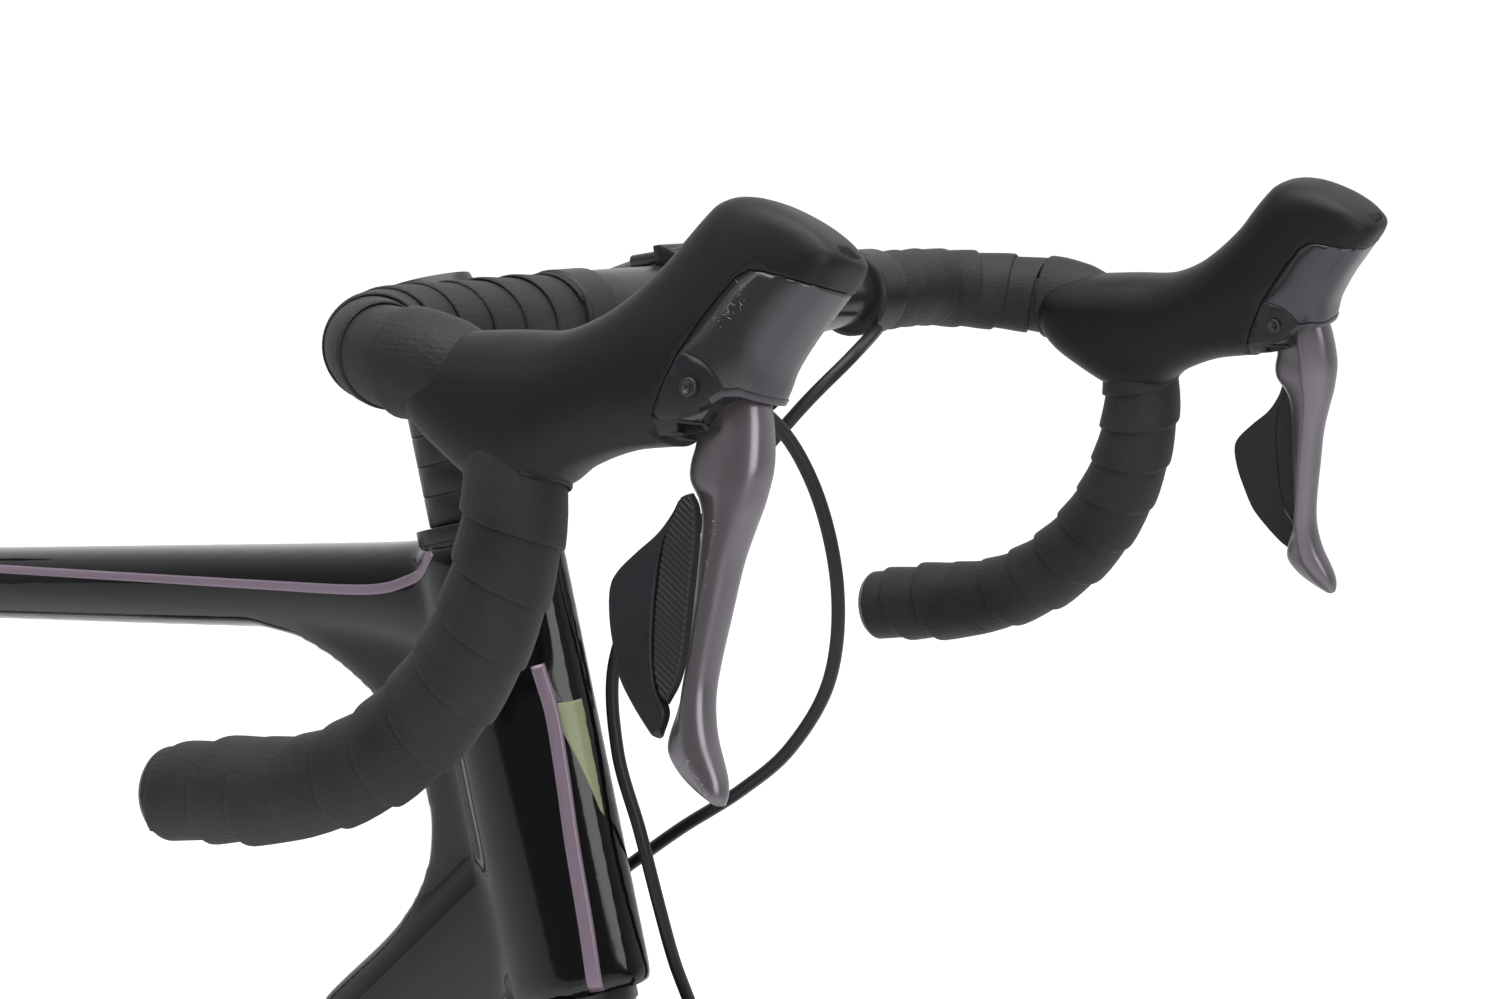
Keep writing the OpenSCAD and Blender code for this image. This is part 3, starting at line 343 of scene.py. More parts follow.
MAT = {
    "carbon_frame": material("lacquer", (0.003, 0.0028, 0.0034), 0.1, grain=300, bump=0.012, rough_vary=0.03,
                             coat=0.15, coat_rough=0.04, spots=9, specular=0.4),
    "carbon_parts": material("satin_carbon", (0.014, 0.014, 0.016), 0.32, grain=500, bump=0.05,
                             pattern=("wave", 260, "DIAGONAL"), coat=0.15, coat_rough=0.2),
    "black_alloy": material("anodised", (0.02, 0.02, 0.022), 0.36, grain=1500, bump=0.1, metallic=0.35,
                            specular=0.4),
    "steel": material("bright_steel", (0.36, 0.36, 0.37), 0.3, grain=700, bump=0.12, metallic=1,
                      wear=((0.1, 0.09, 0.08), 0.06)),
    "black_steel": material("black_oxide", (0.045, 0.045, 0.048), 0.35, metallic=0.7, grain=1100),
    "silver_alloy": material("silver", (0.5, 0.5, 0.51), 0.3, metallic=1, grain=900),
    "hood_rubber": material("moulded_rubber", (0.0092, 0.0088, 0.0108), 0.44, vary=0.14, grain=1600,
    bump=0.25,
                            distance=0.00012, rough_vary=0.08, spots=25, specular=0.22),
    "bar_tape": material("wrap_tape", (0.0135, 0.0125, 0.0145), 0.56, vary=0.3, grain=1300, bump=0.75,
                         distance=0.00022, spots=22, specular=0.26, pattern=("cells", 620, "Object"),
                         tint=(0.0215, 0.0192, 0.0225)),
    "lever_gloss": material("lever_lacquer", (0.16, 0.149, 0.162), 0.28, vary=0.04, grain=900, bump=0.004,
                            rough_vary=0.02, metallic=0.7, coat=0.2, coat_rough=0.12, spots=9,
                            tint=(0.178, 0.158, 0.174)),
    "cover_gloss": material("cover_lacquer", (0.056, 0.052, 0.058), 0.24, vary=0.06, grain=2600, bump=0.012,
    rough_vary=0.03,
                            metallic=0.65, coat=0.12, coat_rough=0.12, spots=14, tint=(0.07, 0.062, 0.07)),
    "black_plastic": material("moulded_plastic", (0.0135, 0.013, 0.016), 0.4, grain=1700, bump=0.16,
    spots=30, specular=0.3),
    "tyre": material("tread_rubber", (0.02, 0.02, 0.021), 0.68, grain=800, bump=0.35, distance=0.0002,
                     pattern=("cells", 420, "Object")),
    "saddle_cover": material("saddle_leather", (0.02, 0.02, 0.021), 0.5, grain=700, bump=0.35,
    distance=0.0002,
                             pattern=("cells", 800, "Object"), sheen=0.1),
    "pad_compound": material("sintered", (0.2, 0.17, 0.14), 0.85, grain=1500, bump=0.6, metallic=0.4),
    # near-black painted shade for the hollows inside the hood, darker than the black plastic there
    "dark": material("dark_recess", (0.004, 0.004, 0.005), 0.7),
    "pinstripe": material("lilac_line", (0.2, 0.155, 0.195), 0.3, vary=0.08, metallic=0.3, coat=0.15,
    specular=0.3, tint=(0.23, 0.175, 0.22)),
    "lime": material("lime_panel", (0.22, 0.245, 0.135), 0.3, vary=0.06, coat=0.2, bump=0.03, specular=0.3),
    "hose": material("hose_sheath", (0.01, 0.011, 0.012), 0.4, grain=900, bump=0.12, specular=0.3),
    "alloy_ring": material("collar", (0.16, 0.17, 0.16), 0.4, metallic=0.8),
    "bare_bar": material("bare_bar_gloss", (0.022, 0.022, 0.024), 0.3, grain=500, bump=0.03, metallic=0.2,
    coat=0.1, specular=0.4),
    "tip_wear": material("scuffed", (0.42, 0.40, 0.42), 0.55, metallic=0.8, vary=0.4, spots=300, bump=0.8),
}


# ---- hoods, lever bodies and blades, drawn for the right side in the lever's own frame ----
# Stations along the hood: bottom x, z, top x, z, half width, and how square its section is
HOOD = [
    (-99, -9, -96, 3, 11, 2.2), (-92, -19, -90, 8, 16, 2.3), (-80, -27, -78, 10, 18, 2.4),
    (-62, -35, -60, 12, 18.5, 2.5),
    (-45, -32, -46, 13, 18, 2.5), (-36, -25, -38, 15, 17.6, 2.5), (-22, -18.5, -28, 20, 17.4, 2.5),
    (-8, -15.5, -19, 27, 17.4, 2.5), (6, -13.5, -10, 36, 17.4, 2.6), (18, -9, -4, 44, 17, 2.7),
    (25, -1, 1, 50, 16.8, 2.8), (27.5, 8, 5, 53.5, 16.5, 2.9), (32.5, 18, 11, 55.2, 16, 3.0),
    (38.5, 27, 19, 54.8, 15.2, 3.0), (43.5, 34.5, 28, 52, 13.6, 3.0), (45.6, 38.5, 35, 48.8, 11, 2.8),
    (45.8, 40.5, 40.5, 45.5, 7, 2.5)]
COVER_LINE = [(60, 31), (47, 31.3), (37, 32.8), (27, 34.3), (22.6, 34.3), (19, 32), (14, 25.5), (9.4, 18.7),
              (4.5, 10.4), (-0.3, -0.9), (-3.1, -8), (-3.6, -30), (60, -30)]
PLATE_LINE = [(5.0, 9.9), (9.2, 9.4), (13.2, 7.8), (16.8, 4.4), (19.3, 0.7), (21.6, -1.9), (17.9, -5),
        (15, -6.9),
              (11.5, -7.6), (2.4, -8.3), (-2.6, -8.2), (-0.1, -1), (2.8, 5.8)]


def hood_rings(grow, n=48, count=64):
    q = spline(HOOD, count)
    rings = []
    for b0, b1, t0, t1, half, power in q:
        b, t = np.array([b0, 0, b1]), np.array([t0, 0, t1])
        rings.append(oval((b + t) / 2, unit(t - b), -SIDE, np.linalg.norm(t - b) / 2 + grow, half + grow,
                power, n))
    return rings


def to_side(verts):
    """From the right lever's own frame into the row frame."""
    return lever_at + lean(np.asarray(verts, float))


def lever_piece(name, verts, faces, mat, **k):
    return mesh_piece(name, to_side(verts), faces, mat, **k)


def prism(outline, y0, y1):
    """An outline in the lever's X and Z, between two distances across it."""
    o = np.asarray(outline, float)
    rings = [np.stack([o[:, 0], np.full(len(o), y), o[:, 1]], 1) for y in (y0, y1)]
    return loft(rings)


def cutter(outline, y0, y1):
    return lever_piece("cutter", *prism(outline, y0, y1), MAT["dark"], smooth=False)


def grown(outline, by):
    """An outline moved outwards by a distance, each point along its own bisector."""
    o = np.asarray(outline, float)
    d = np.roll(o, -1, 0) - np.roll(o, 1, 0)
    n = np.stack([d[:, 1], -d[:, 0]], 1) / np.linalg.norm(d, axis=1)[:, None]
    area = np.sum(o[:, 0] * np.roll(o[:, 1], -1) - np.roll(o[:, 0], -1) * o[:, 1])
    return o + n * by * (1 if area > 0 else -1)


def build_levers():
    # rubber hood: the whole form less the cover and the pivot plates
    hood = lever_piece("hood_right", *loft(hood_rings(0.25)), MAT["hood_rubber"])
    cut(hood, cutter(grown(COVER_LINE, 0.28), -BOTH_WAYS, BOTH_WAYS))
    both(hood, "steering", "steering", slot="hood_rubber")
    # the inner body of the hood, coloured near-black as painted shade where it shows in the blade channel and
    # through the window
    core = lever_piece("hood_core_right", *loft(hood_rings(-1.4)), MAT["dark"])
    cut(core, cutter([(0, -40), (60, -40), (60, -3), (28, -3), (19, 1.5), (2, -7.6)], -12.5, 12.5))
    cut(core, cutter([(22, -40), (60, -40), (60, 1), (22, 1)], -BOTH_WAYS, BOTH_WAYS))
    both(core, "steering", "steering", slot="black_plastic")

    # gloss cover in front of the seam, open below for the blade
    lip_low = [(60, -3.2), (30, -3.2), (27, -0.6), (22.5, 0.4), (18.5, -0.3), (15.3, -2.6), (10, -9),
            (-4, -20), (-4, -40), (60, -40)]
    cover = lever_piece("cover_right", *loft(hood_rings(0.05)), MAT["cover_gloss"])
    cut(cover, cutter(COVER_LINE, -BOTH_WAYS, BOTH_WAYS), "INTERSECT")
    cut(cover, cutter(lip_low, -BOTH_WAYS, BOTH_WAYS))
    chin = [(-3.4, -8.1), (12.0, -8.0), (13.8, -9.6), (13.8, -24), (-4.2, -24)]
    cut(cover, cutter(chin, -BOTH_WAYS, BOTH_WAYS))
    both(cover, "steering", "steering", slot="lever_gloss")

    # matte pivot plates on both faces, with the window below them
    plates = lever_piece("pivot_plate_right", *loft(hood_rings(0.5)), MAT["black_plastic"])
    cut(plates, cutter(spline(PLATE_LINE, 60, closed=True)[:, :2], -BOTH_WAYS, BOTH_WAYS), "INTERSECT")
    cut(plates, cutter([(-20, -40), (60, -40), (60, 40), (-20, 40)], -13.6, 13.6))
    both(plates, "steering", "steering", slot="black_plastic")
    rim = lever_piece("window_rim_right", *loft(hood_rings(0.2)), MAT["black_plastic"])
    cut(rim, cutter(chin, -BOTH_WAYS, BOTH_WAYS), "INTERSECT")
    cut(rim, cutter([(-8, -4), (18, -4), (18, -28), (-8, -28)], -9.3, 9.3))
    softened(rim, 0.35, 2)
    window = [(4.2, -8.9), (11.0, -8.6), (12.0, -11.6), (9.6, -12.3), (3.4, -11.2)]
    for side in (-1, 1):
        cut(rim, cutter(window, side * 9.5, side * BOTH_WAYS))
    both(rim, "steering", "steering", slot="black_plastic")

    # rolled lip of the cover, arching over the blade from plate to plate
    band = [(27.5, -1.2), (27, -0.6), (22.5, 0.4), (18.5, -0.3), (15.3, -2.6), (14.6, -1.0), (18, 1.5),
            (22.5, 2.3), (27.5, 1.2)]
    lip = lever_piece("cover_lip_right", *loft(hood_rings(0.6)), MAT["cover_gloss"])
    cut(lip, cutter(band, -BOTH_WAYS, BOTH_WAYS), "INTERSECT")
    softened(lip, 0.3, 2)
    both(lip, "steering", "steering", slot="lever_gloss")

    # round pivot screws, with a shallow round recess
    parts = []
    for side in (-1, 1):
        c = np.array([9.0, side * 17.3, 1.1])
        parts.append(turned(c, SIDE * side, [(-3, 2.75), (0.2, 2.75), (0.55, 2.5), (0.6, 1.7), (0.05, 1.5),
                (0, 0.1)], 36))
    both(lever_piece("pivot_screw_right", *together(*parts), MAT["black_steel"]), "steering", "steering",
         nodes=(), slot="black_steel")


# Blade: height, rear edge, front edge, ridge, half width
BLADE = [
    (6, 6.0, 22.0, 13.5, 6.4), (0, 4.5, 24.6, 14.0, 7.0), (-7, 3.2, 26.6, 15.2, 7.6),
    (-14, 3.6, 27.8, 16.4, 8.0), (-19, 2.7, 28.0, 16.8, 8.1), (-24, 3.3, 27.4, 17.0, 7.9),
    (-29, 7.2, 26.6, 17.2, 7.4), (-35, 9.2, 25.0, 17.2, 7.0), (-45, 9.6, 22.8, 16.4, 6.6),
    (-58, 9.9, 21.6, 15.1, 6.2), (-72, 10.6, 20.3, 14.2, 5.8), (-81, 10.8, 20.1, 13.6, 5.7),
    (-88, 9.6, 21.2, 14.2, 5.8), (-94, 8.1, 23.2, 15.4, 5.9), (-99, 8.2, 25.8, 17.2, 5.8),
    (-104, 12.4, 28.2, 20.3, 5.2), (-108, 18.6, 29.0, 23.8, 4.2), (-111, 25.0, 28.6, 27.0, 2.2)]


def blade_ring(z, rear, front, ridge, half):
    """The blade's section: a flat-backed channel with two facets that meet in a ridge on each side."""
    right = [(front, 0), (front - 0.9, half * 0.62), ((front + ridge) / 2, half * 0.94),
            (ridge + 0.8, half + 0.1),
             (ridge - 0.8, half * 0.98), ((ridge + rear) / 2, half * 0.72), (rear + 0.6, half * 0.42)]
    ring = [(x, -y) for x, y in right] + [(rear, 0)] + [(x, y) for x, y in reversed(right[1:])]
    return np.array([(x, y, z) for x, y in ring])


def build_blades():
    q = spline(BLADE, 60)
    rings = [blade_ring(*row) for row in q]
    blade = lever_piece("blade_right", *loft(rings), MAT["lever_gloss"])
    subdivided(blade, 2)
    both(blade, "lever_right", "lever_left", nodes=("brake_lever_right",), slot="lever_gloss")
    # bright scuffs where the blade has been knocked
    marks = []
    for row in ((16.9, -7.6, -34.5, 1.6), (15.2, -7.35, -36.2, 1.1), (17.4, -7.3, -37.4, 0.9),
            (16.3, -7.1, -41.6, 0.8),
                (15.6, -6.9, -46, 0.7), (15.1, -6.6, -51.5, 0.8), (20.6, -5.2, -104.4, 1.5),
                (22.6, -4.8, -106.6, 1.4),
                (18.3, -5.6, -101.6, 1.0), (24.4, -4.1, -108.2, 1.2)):
        x, y, z, size = row
        for k in range(3):
            d = rng.normal(0, 1, 3) * [0.7, 0.05, 0.7]
            a, b = np.array([x, y, z]) + d, np.array([x, y, z]) + d + rng.normal(0, 1, 3) * [size * 0.6,
                    0.03, size * 0.8]
            marks.append(tube(resample(np.array([a, (a + b) / 2, b]), 0.4)[0], 0.11, 5))
    snug = mesh_piece("blade_marks_right", *together(*[(to_side(v), f) for v, f in marks]), MAT["tip_wear"])
    hug(snug, blade, 0.05)
    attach(snug, "lever_right")


def build_scuffs(cover):
    """Bright chips along the cover's rear upper corner."""
    marks = []
    for x, z in [(21.4, 30.1), (19.8, 28.1), (21.7, 26.1), (17.8, 24.4), (20.3, 23.0), (16.4, 21.3),
            (14.6, 20.0), (21.4, 24.4)]:
        for k in range(4):
            a = np.array([x, -18.5, z]) + rng.normal(0, 1, 3) * [0.8, 0, 0.8]
            b = a + rng.normal(0, 1, 3) * [0.7, 0, 0.9]
            marks.append(tube(resample(np.array([a, (a + b) / 2, b]), 0.25)[0], 0.09, 5))
    chips = mesh_piece("cover_scuffs_right", *together(*[(to_side(v), f) for v, f in marks]), MAT["tip_wear"])
    hug(chips, cover, 0.04)
    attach(chips, "steering")


def hug(obj, target, lift):
    """Moves each point of obj on to the nearest place of target's surface, lift above it."""
    tree = BVHTree.FromObject(target, bpy.context.evaluated_depsgraph_get())
    for v in obj.data.vertices:
        at, normal, _, _ = tree.find_nearest(v.co)
        away = (v.co - at).dot(normal)
        v.co = at + normal * max(lift * MM, min(away, 0.2 * MM))


# Shift paddles behind the blade: the smooth wing and the ribbed strip, as edge curves down the lever
WING_OUT = [(4.0, -28.5), (2.2, -33.4), (-2, -39.8), (-8.7, -45.9), (-14.6, -52), (-16.5, -57), (-15.3, -65),
            (-12.4, -73), (-8.6, -81.2), (-3, -87.8), (3, -93.4), (6.6, -95.8)]
WING_IN = [(6.0, -28.3), (4.2, -34), (1.6, -40), (0.8, -46.5), (0.9, -52), (1.2, -58), (1.8, -65), (3.0, -73),
           (5.2, -81), (8.2, -85.5), (9.4, -89), (8.2, -95)]
STRIP_OUT = [(5.2, -27.8), (3.0, -33.6), (0.8, -39.4), (0.2, -47), (0.4, -54), (0.8, -61), (1.9, -70),
        (4.0, -78.5), (8.6, -85.6)]
STRIP_IN = [(8.0, -27.2), (10.8, -31.0), (12.2, -38), (12.7, -46), (13.0, -54), (13.3, -62), (13.5, -71),
        (12.6, -79), (9.8, -85.8)]


def build_paddles():
    across_n, along_n = 24, 150

    def plate(name, outer, inner, depth, thick, height, mat, slot, node, bodies):
        a, b = spline(outer, along_n), spline(inner, along_n)
        t = np.linspace(0, 1, across_n)
        top = a[:, None] * (1 - t[None, :, None]) + b[:, None] * t[None, :, None]
        s = np.linspace(0, 1, along_n)[:, None]
        edge = np.minimum(1, np.minimum(np.minimum(t[None, :], 1 - t[None, :]) * 9,
                np.minimum(s, 1 - s) * 26))
        roll = 1 - (1 - edge) ** 2
        y_top = -(depth(t[None, :]) + thick * roll + height(top, roll))
        y_low = -(depth(t[None, :]) + 0 * roll)
        upper = np.stack([top[..., 0], y_top, top[..., 1]], -1)
        lower = np.stack([top[..., 0], y_low, top[..., 1]], -1)
        n = across_n * along_n
        faces = grid_faces(along_n, across_n, 0,
                False) + [tuple(reversed(f)) for f in grid_faces(along_n, across_n, n, False)]
        rim = [i for i in range(across_n)] + [across_n * j + across_n - 1 for j in range(1, along_n)]
        rim += [across_n * (along_n - 1) + i for i in range(across_n - 2, -1,
                -1)] + [across_n * j for j in range(along_n - 2, 0, -1)]
        for i, r in enumerate(rim):
            k = rim[(i + 1) % len(rim)]
            faces.append((r, k, k + n, r + n))
        piece = lever_piece(name, np.concatenate([upper.reshape(-1, 3), lower.reshape(-1, 3)]), faces, mat)
        both(piece, *bodies, nodes=(node,), slot=slot)
        return piece

    def smooth_dome(p, roll):
        return 0.9 * roll

    def ribs(p, roll):
        # fine diagonal ribs that fade towards both edges of the strip
        phase = (p[..., 1] + 0.55 * p[..., 0]) / 1.75
        tri = np.abs((phase % 1) - 0.5) * 2
        return 0.9 * roll + 0.7 * roll * (tri - 0.5)

    plate("wing_right", WING_OUT, WING_IN, lambda t: 3.2 + 0.8 * t, 2.2, smooth_dome, MAT["black_plastic"],
          "black_plastic", "shift_paddle_right", ("paddle_right", "paddle_left"))
    plate("button_right", STRIP_OUT, STRIP_IN, lambda t: 4.4 + 1.2 * t, 1.9, ribs, MAT["black_plastic"],
          "black_plastic", "shift_button_right", ("button_right", "button_left"))


# ---- handlebar and tape ----
FLAT_HALF, CORNER_R, BEND_R, DROP_R, DROP_TURN, END_LEN, FLARE, REACH = 160, 44, 34, 101, 78, 45, 12.5, 81
BAR_SIDE_Y = FLAT_HALF + CORNER_R


def bar_line():
    """One side of the bar's centre line, from the middle out, on the right."""
    rad = np.radians
    ramp_x = REACH - BEND_R
    drop_c = np.array([REACH - DROP_R, 0, -4 - BEND_R])
    pts = [(0, -y, 0) for y in np.linspace(45, FLAT_HALF, 5)]
    for t in np.linspace(0, 1, 9)[1:]:
        a = rad(90 * t)
        pts.append((CORNER_R * (1 - math.cos(a)), -FLAT_HALF - CORNER_R * math.sin(a), -3 * t))
    for t in np.linspace(0, 1, 7)[1:]:
        a = rad(90 * t)
        pts.append((ramp_x + BEND_R * math.sin(a), -BAR_SIDE_Y, -4 - BEND_R * (1 - math.cos(a))))
    for t in np.linspace(0, 1, 15)[1:]:
        a = rad(DROP_TURN * t)
        pts.append(tuple(drop_c + [DROP_R * math.cos(a), -BAR_SIDE_Y, -DROP_R * math.sin(a)]))
    a = rad(DROP_TURN)
    for t in (0.33, 0.66, 1):
        pts.append(tuple(drop_c + [DROP_R * math.cos(a) - t * END_LEN * math.sin(a), -BAR_SIDE_Y,
                                   -DROP_R * math.sin(a) - t * END_LEN * math.cos(a)]))
    p = np.array(pts)
    p[:, 1] -= FLARE * np.maximum(0, -p[:, 2] - 6) / 140
    return resample(spline(bar_at + p, 600), 1.0)[0]


BAR = bar_line()


def wrap(name, path, pitches, base, lift, thick, hand, mat, bumps=(), phase=0.0):
    """A ribbon wound round a path, each turn lying on the one before it."""
    per_turn, cols = 56, 9
    p, at = resample(path, 0.5)
    _, u, v = frames(p)
    total = len(pitches)
    starts = np.concatenate([[0], np.cumsum(pitches)])
    turns = np.linspace(0, total - 0.001, total * per_turn)
    begin = np.interp(turns, np.arange(total + 1), starts)
    pitch_here = np.interp(turns, np.arange(total) + 0.5, pitches)
    rings = []
    for i, turn in enumerate(turns):
        ang = hand * 2 * math.pi * turn + phase
        width = 1.5 * pitch_here[i]
        w = np.concatenate([np.array([0, 0.02, 0.06, 0.2, 0.4, 0.62, 0.8, 1.0]),
                np.array([1.0, 0.8, 0.62, 0.4, 0.2, 0.06, 0.0])])
        outer = np.array([-0.5, -0.12, 0, 0.06, 0, -0.03, -0.02, -0.1])
        rise = base + lift * (1 - w[:8]) + outer * thick + 0.22 * math.sin(turn * 5.1 + ang)
        inner = base + lift * (1 - w[8:]) - thick + 0.22 * math.sin(turn * 5.1 + ang)
        r = np.concatenate([rise, inner])
        for centre, size, spread in bumps:
            r = r + size * math.exp(-((begin[i] - centre) / spread) ** 2)
        s = np.clip(begin[i] + w * width, 0, at[-1])
        k = np.minimum((s / at[-1] * (len(p) - 1)), len(p) - 1.001)
        lo = k.astype(int)
        f = (k - lo)[:, None]
        c = p[lo] * (1 - f) + p[lo + 1] * f
        uu, vv = u[lo] * (1 - f) + u[lo + 1] * f, v[lo] * (1 - f) + v[lo + 1] * f
        rings.append(c + (uu * math.cos(ang) + vv * math.sin(ang)) * r[:, None])
    return mesh_piece(name, *loft(rings), mat)


def build_bar():
    # taped drop, from the plug up into the hood
    drop = BAR[::-1]
    lengths = [19, 15.5, 17, 18, 17.5, 18.5, 18, 17.5, 17, 16.5, 15]
    taped = wrap("tape_drop_right", drop, lengths, 14.3, 1.9, 1.0, -1, MAT["bar_tape"],
                 bumps=((30, 1.3, 9),), phase=2.4)
    both(taped, "steering", "steering", slot="bar_tape")
    # what shows of the wrap where it runs in under the hood, at the drop's top and on the ramp
    z_low, z_high = lever_at[2] - 52, lever_at[2] - 22
    bend = BAR[(BAR[:, 2] > z_low) & (BAR[:, 2] < z_high) & (BAR[:, 0] > bar_at[0] + 60)]
    under = [(bend, np.linspace(15.6, 13.6, len(bend)))]
    ramp = BAR[(BAR[:, 0] > bar_at[0] + 38) & (BAR[:, 0] < bar_at[0] + 70) & (BAR[:, 2] > lever_at[2] - 12)]
    under.append((ramp, np.interp(np.linspace(0, 1, len(ramp)), [0, 0.4, 1], [16.9, 16.3, 12.6])))
    under.append((BAR[-24:], np.full(24, 14.9)))
    ends = mesh_piece("tape_end_right", *together(*[tube(p, r, 40) for p, r in under]), MAT["bar_tape"])
    both(ends, "steering", "steering", slot="bar_tape")
    # taped top: from inside the hood, round the corner and in towards the stem
    for side, end_y in (("right", 70), ("left", 108)):
        ys = BAR[:, 1]
        first = int(np.argmax(ys < -end_y))
        corner = int(np.argmax(BAR[:, 0] > bar_at[0] + 52))
        path = BAR[first:corner][::-1]
        length = np.linalg.norm(np.diff(path, axis=0), axis=1).sum()
        turns = 9 if side == "right" else 7
        step = (length - 9) / (turns + 0.5)
        top = wrap("tape_top_" + side, path, [step * k for k in (1.04, 0.98, 1.05, 0.96, 1.02, 0.97, 1.0,
                1.01, 0.97)[:turns]],
                   14.6, 1.5, 1.0, 1, MAT["bar_tape"], phase=0.8)
        band_path = BAR[first - 2:first + 17]
        band = mesh_piece("finishing_tape_" + side, *tube(resample(band_path, 1)[0],
                          [14.2] + [16.9] * (len(resample(band_path, 1)[0]) - 2) + [15.5], 40),
                          MAT["black_plastic"])
        for piece in (top, band):
            if side == "left":
                piece.data.transform(Matrix.Scale(-1, 4, (0, 1, 0)))
                piece.data.flip_normals()
            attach(piece, "steering")
            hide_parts("bar_tape")
    # end plugs: a rolled edge of tape round a domed cap
    out = unit(BAR[-1] - BAR[-4])
    plug = turned(BAR[-1] - out * 2, out, [(0, 12), (1.5, 14.2), (3.0, 14.4), (4.2, 13.6), (4.6, 12.4),
            (4.3, 11.4), (4.9, 8), (5.1, 0.1)], 56)
    both(mesh_piece("plug_right", *plug, MAT["black_plastic"]), "steering", "steering", slot="black_plastic")
    collar = turned(BAR[-1] - out * 0.6, out, [(0, 14.0), (0.1, 14.7), (1.0, 14.9), (1.6, 14.6),
            (1.7, 13.6)], 56)
    both(mesh_piece("plug_collar_right", *collar, MAT["alloy_ring"]), "steering", "steering",
            slot="black_plastic")
    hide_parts("bar_plugs")
    # the bare bar: a round top that swells to the clamp
    half = BAR[:-30]
    y = -half[:, 1]
    r = np.where(y < 60, 15.9, np.where(y < 110, 15.9 - 4 * (y - 60) / 50, 11.9)) - 0.02
    right = [(p, rr) for p, rr in zip(half, r)][::3]
    left = [(p * [1, -1, 1], rr) for p, rr in reversed(right)]
    centre = [(bar_at + [0, yy, 0], 15.88) for yy in (40, 20, 0, -20, -40)]
    line = left + centre + right
    bar = mesh_piece("bare_bar", *tube(np.array([p for p, _ in line]), np.array([q for _, q in line]), 40),
            MAT["bare_bar"])
    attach(bar, "steering")
    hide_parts("handlebar")


# ---- brake hoses: routes through given points, in millimetres ----
FRONT_HOSE = [
    (402, 106, 938), (411, 84, 936), (417, 60, 930), (408, 42, 912), (385, 26, 876), (362, 14, 842),
    (352, 9, 812),
    (358, 5, 780), (371, 3, 752), (379, 6, 724), (382, 14, 700), (385, 26, 674), (384, 37, 648),
    (380, 43.5, 620),
    (386, 47.5, 580), (402, 51.5, 530), (420, 55.5, 480), (436, 59, 440), (437, 55, 414), (433, 48, 400)]
REAR_HOSE = [
    (402, -67, 936), (414, -45, 931), (433, -20, 919), (447, -8, 894), (454, 0, 858), (448, 8, 822),
    (429, 14, 792),
    (404, 20, 770), (376, 25, 750), (354, 29, 733), (336, 30, 718), (322, 27, 705), (312, 19, 696)]
REAR_LOWER = [(-392, 71, 322), (-400, 70, 334), (-410, 66, 346), (-420, 60, 352)]


def build_hoses():
    def hose(name, route):
        path = resample(spline(route, 40 * len(route)), 2.0)[0]
        return mesh_piece(name, *tube(path, 2.5, 20), MAT["hose"])

    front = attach(hose("brake_hose_front", FRONT_HOSE), "steering")
    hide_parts("front_hose")
    rear = hose("brake_hose_rear", REAR_HOSE)
    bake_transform(rear)
    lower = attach(hose("brake_hose_rear_lower", REAR_LOWER), "frame")
    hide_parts("rear_hose")
    # rubber guide where the rear hose goes into the down tube
    end, d = np.array(REAR_HOSE[-1], float), unit(np.array(REAR_HOSE[-1], float) - REAR_HOSE[-2])
    guide = mesh_piece("hose_guide", *turned(end - d * 9, d,
            [(0, 2.8), (0.6, 4.6), (3, 5.6), (9, 6.4), (16, 7), (17, 5)], 28), MAT["black_plastic"])
    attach(guide, "frame")


# ---- frame and fork skins ----
def hull_ring(c, u, v, big, small, ahead, n=48):
    """A ring round two circles, the small one ahead along u."""
    split = math.acos((big - small) / ahead)
    t = np.linspace(-math.pi, math.pi, n, endpoint=False)
    on_small = np.abs(t) < split
    r = np.where(on_small, small, big)
    x = r * np.cos(t) + np.where(on_small, ahead, 0)
    return c + np.outer(x, u) + np.outer(r * np.sin(t), v)


def stay(points, half_h, half_w, n=24):
    p = spline(points, 40)
    q = spline(np.stack([half_h, half_w, half_h], 1), 40)
    t, _, _ = frames(p)
    rings = []
    for i, c in enumerate(p):
        side = unit(np.cross(t[i], SIDE))
        rings.append(oval(c, side, np.cross(t[i], side), q[i, 0], q[i, 1], 2.4, n))
    return loft(rings)


SEAT_TOP = 531
top_a = crown + (HEAD_LEN - 20) * steer_up
top_b = bb + (SEAT_TOP - 15) * seat_up
down_a = crown + 44 * steer_up - 10 * steer_fwd


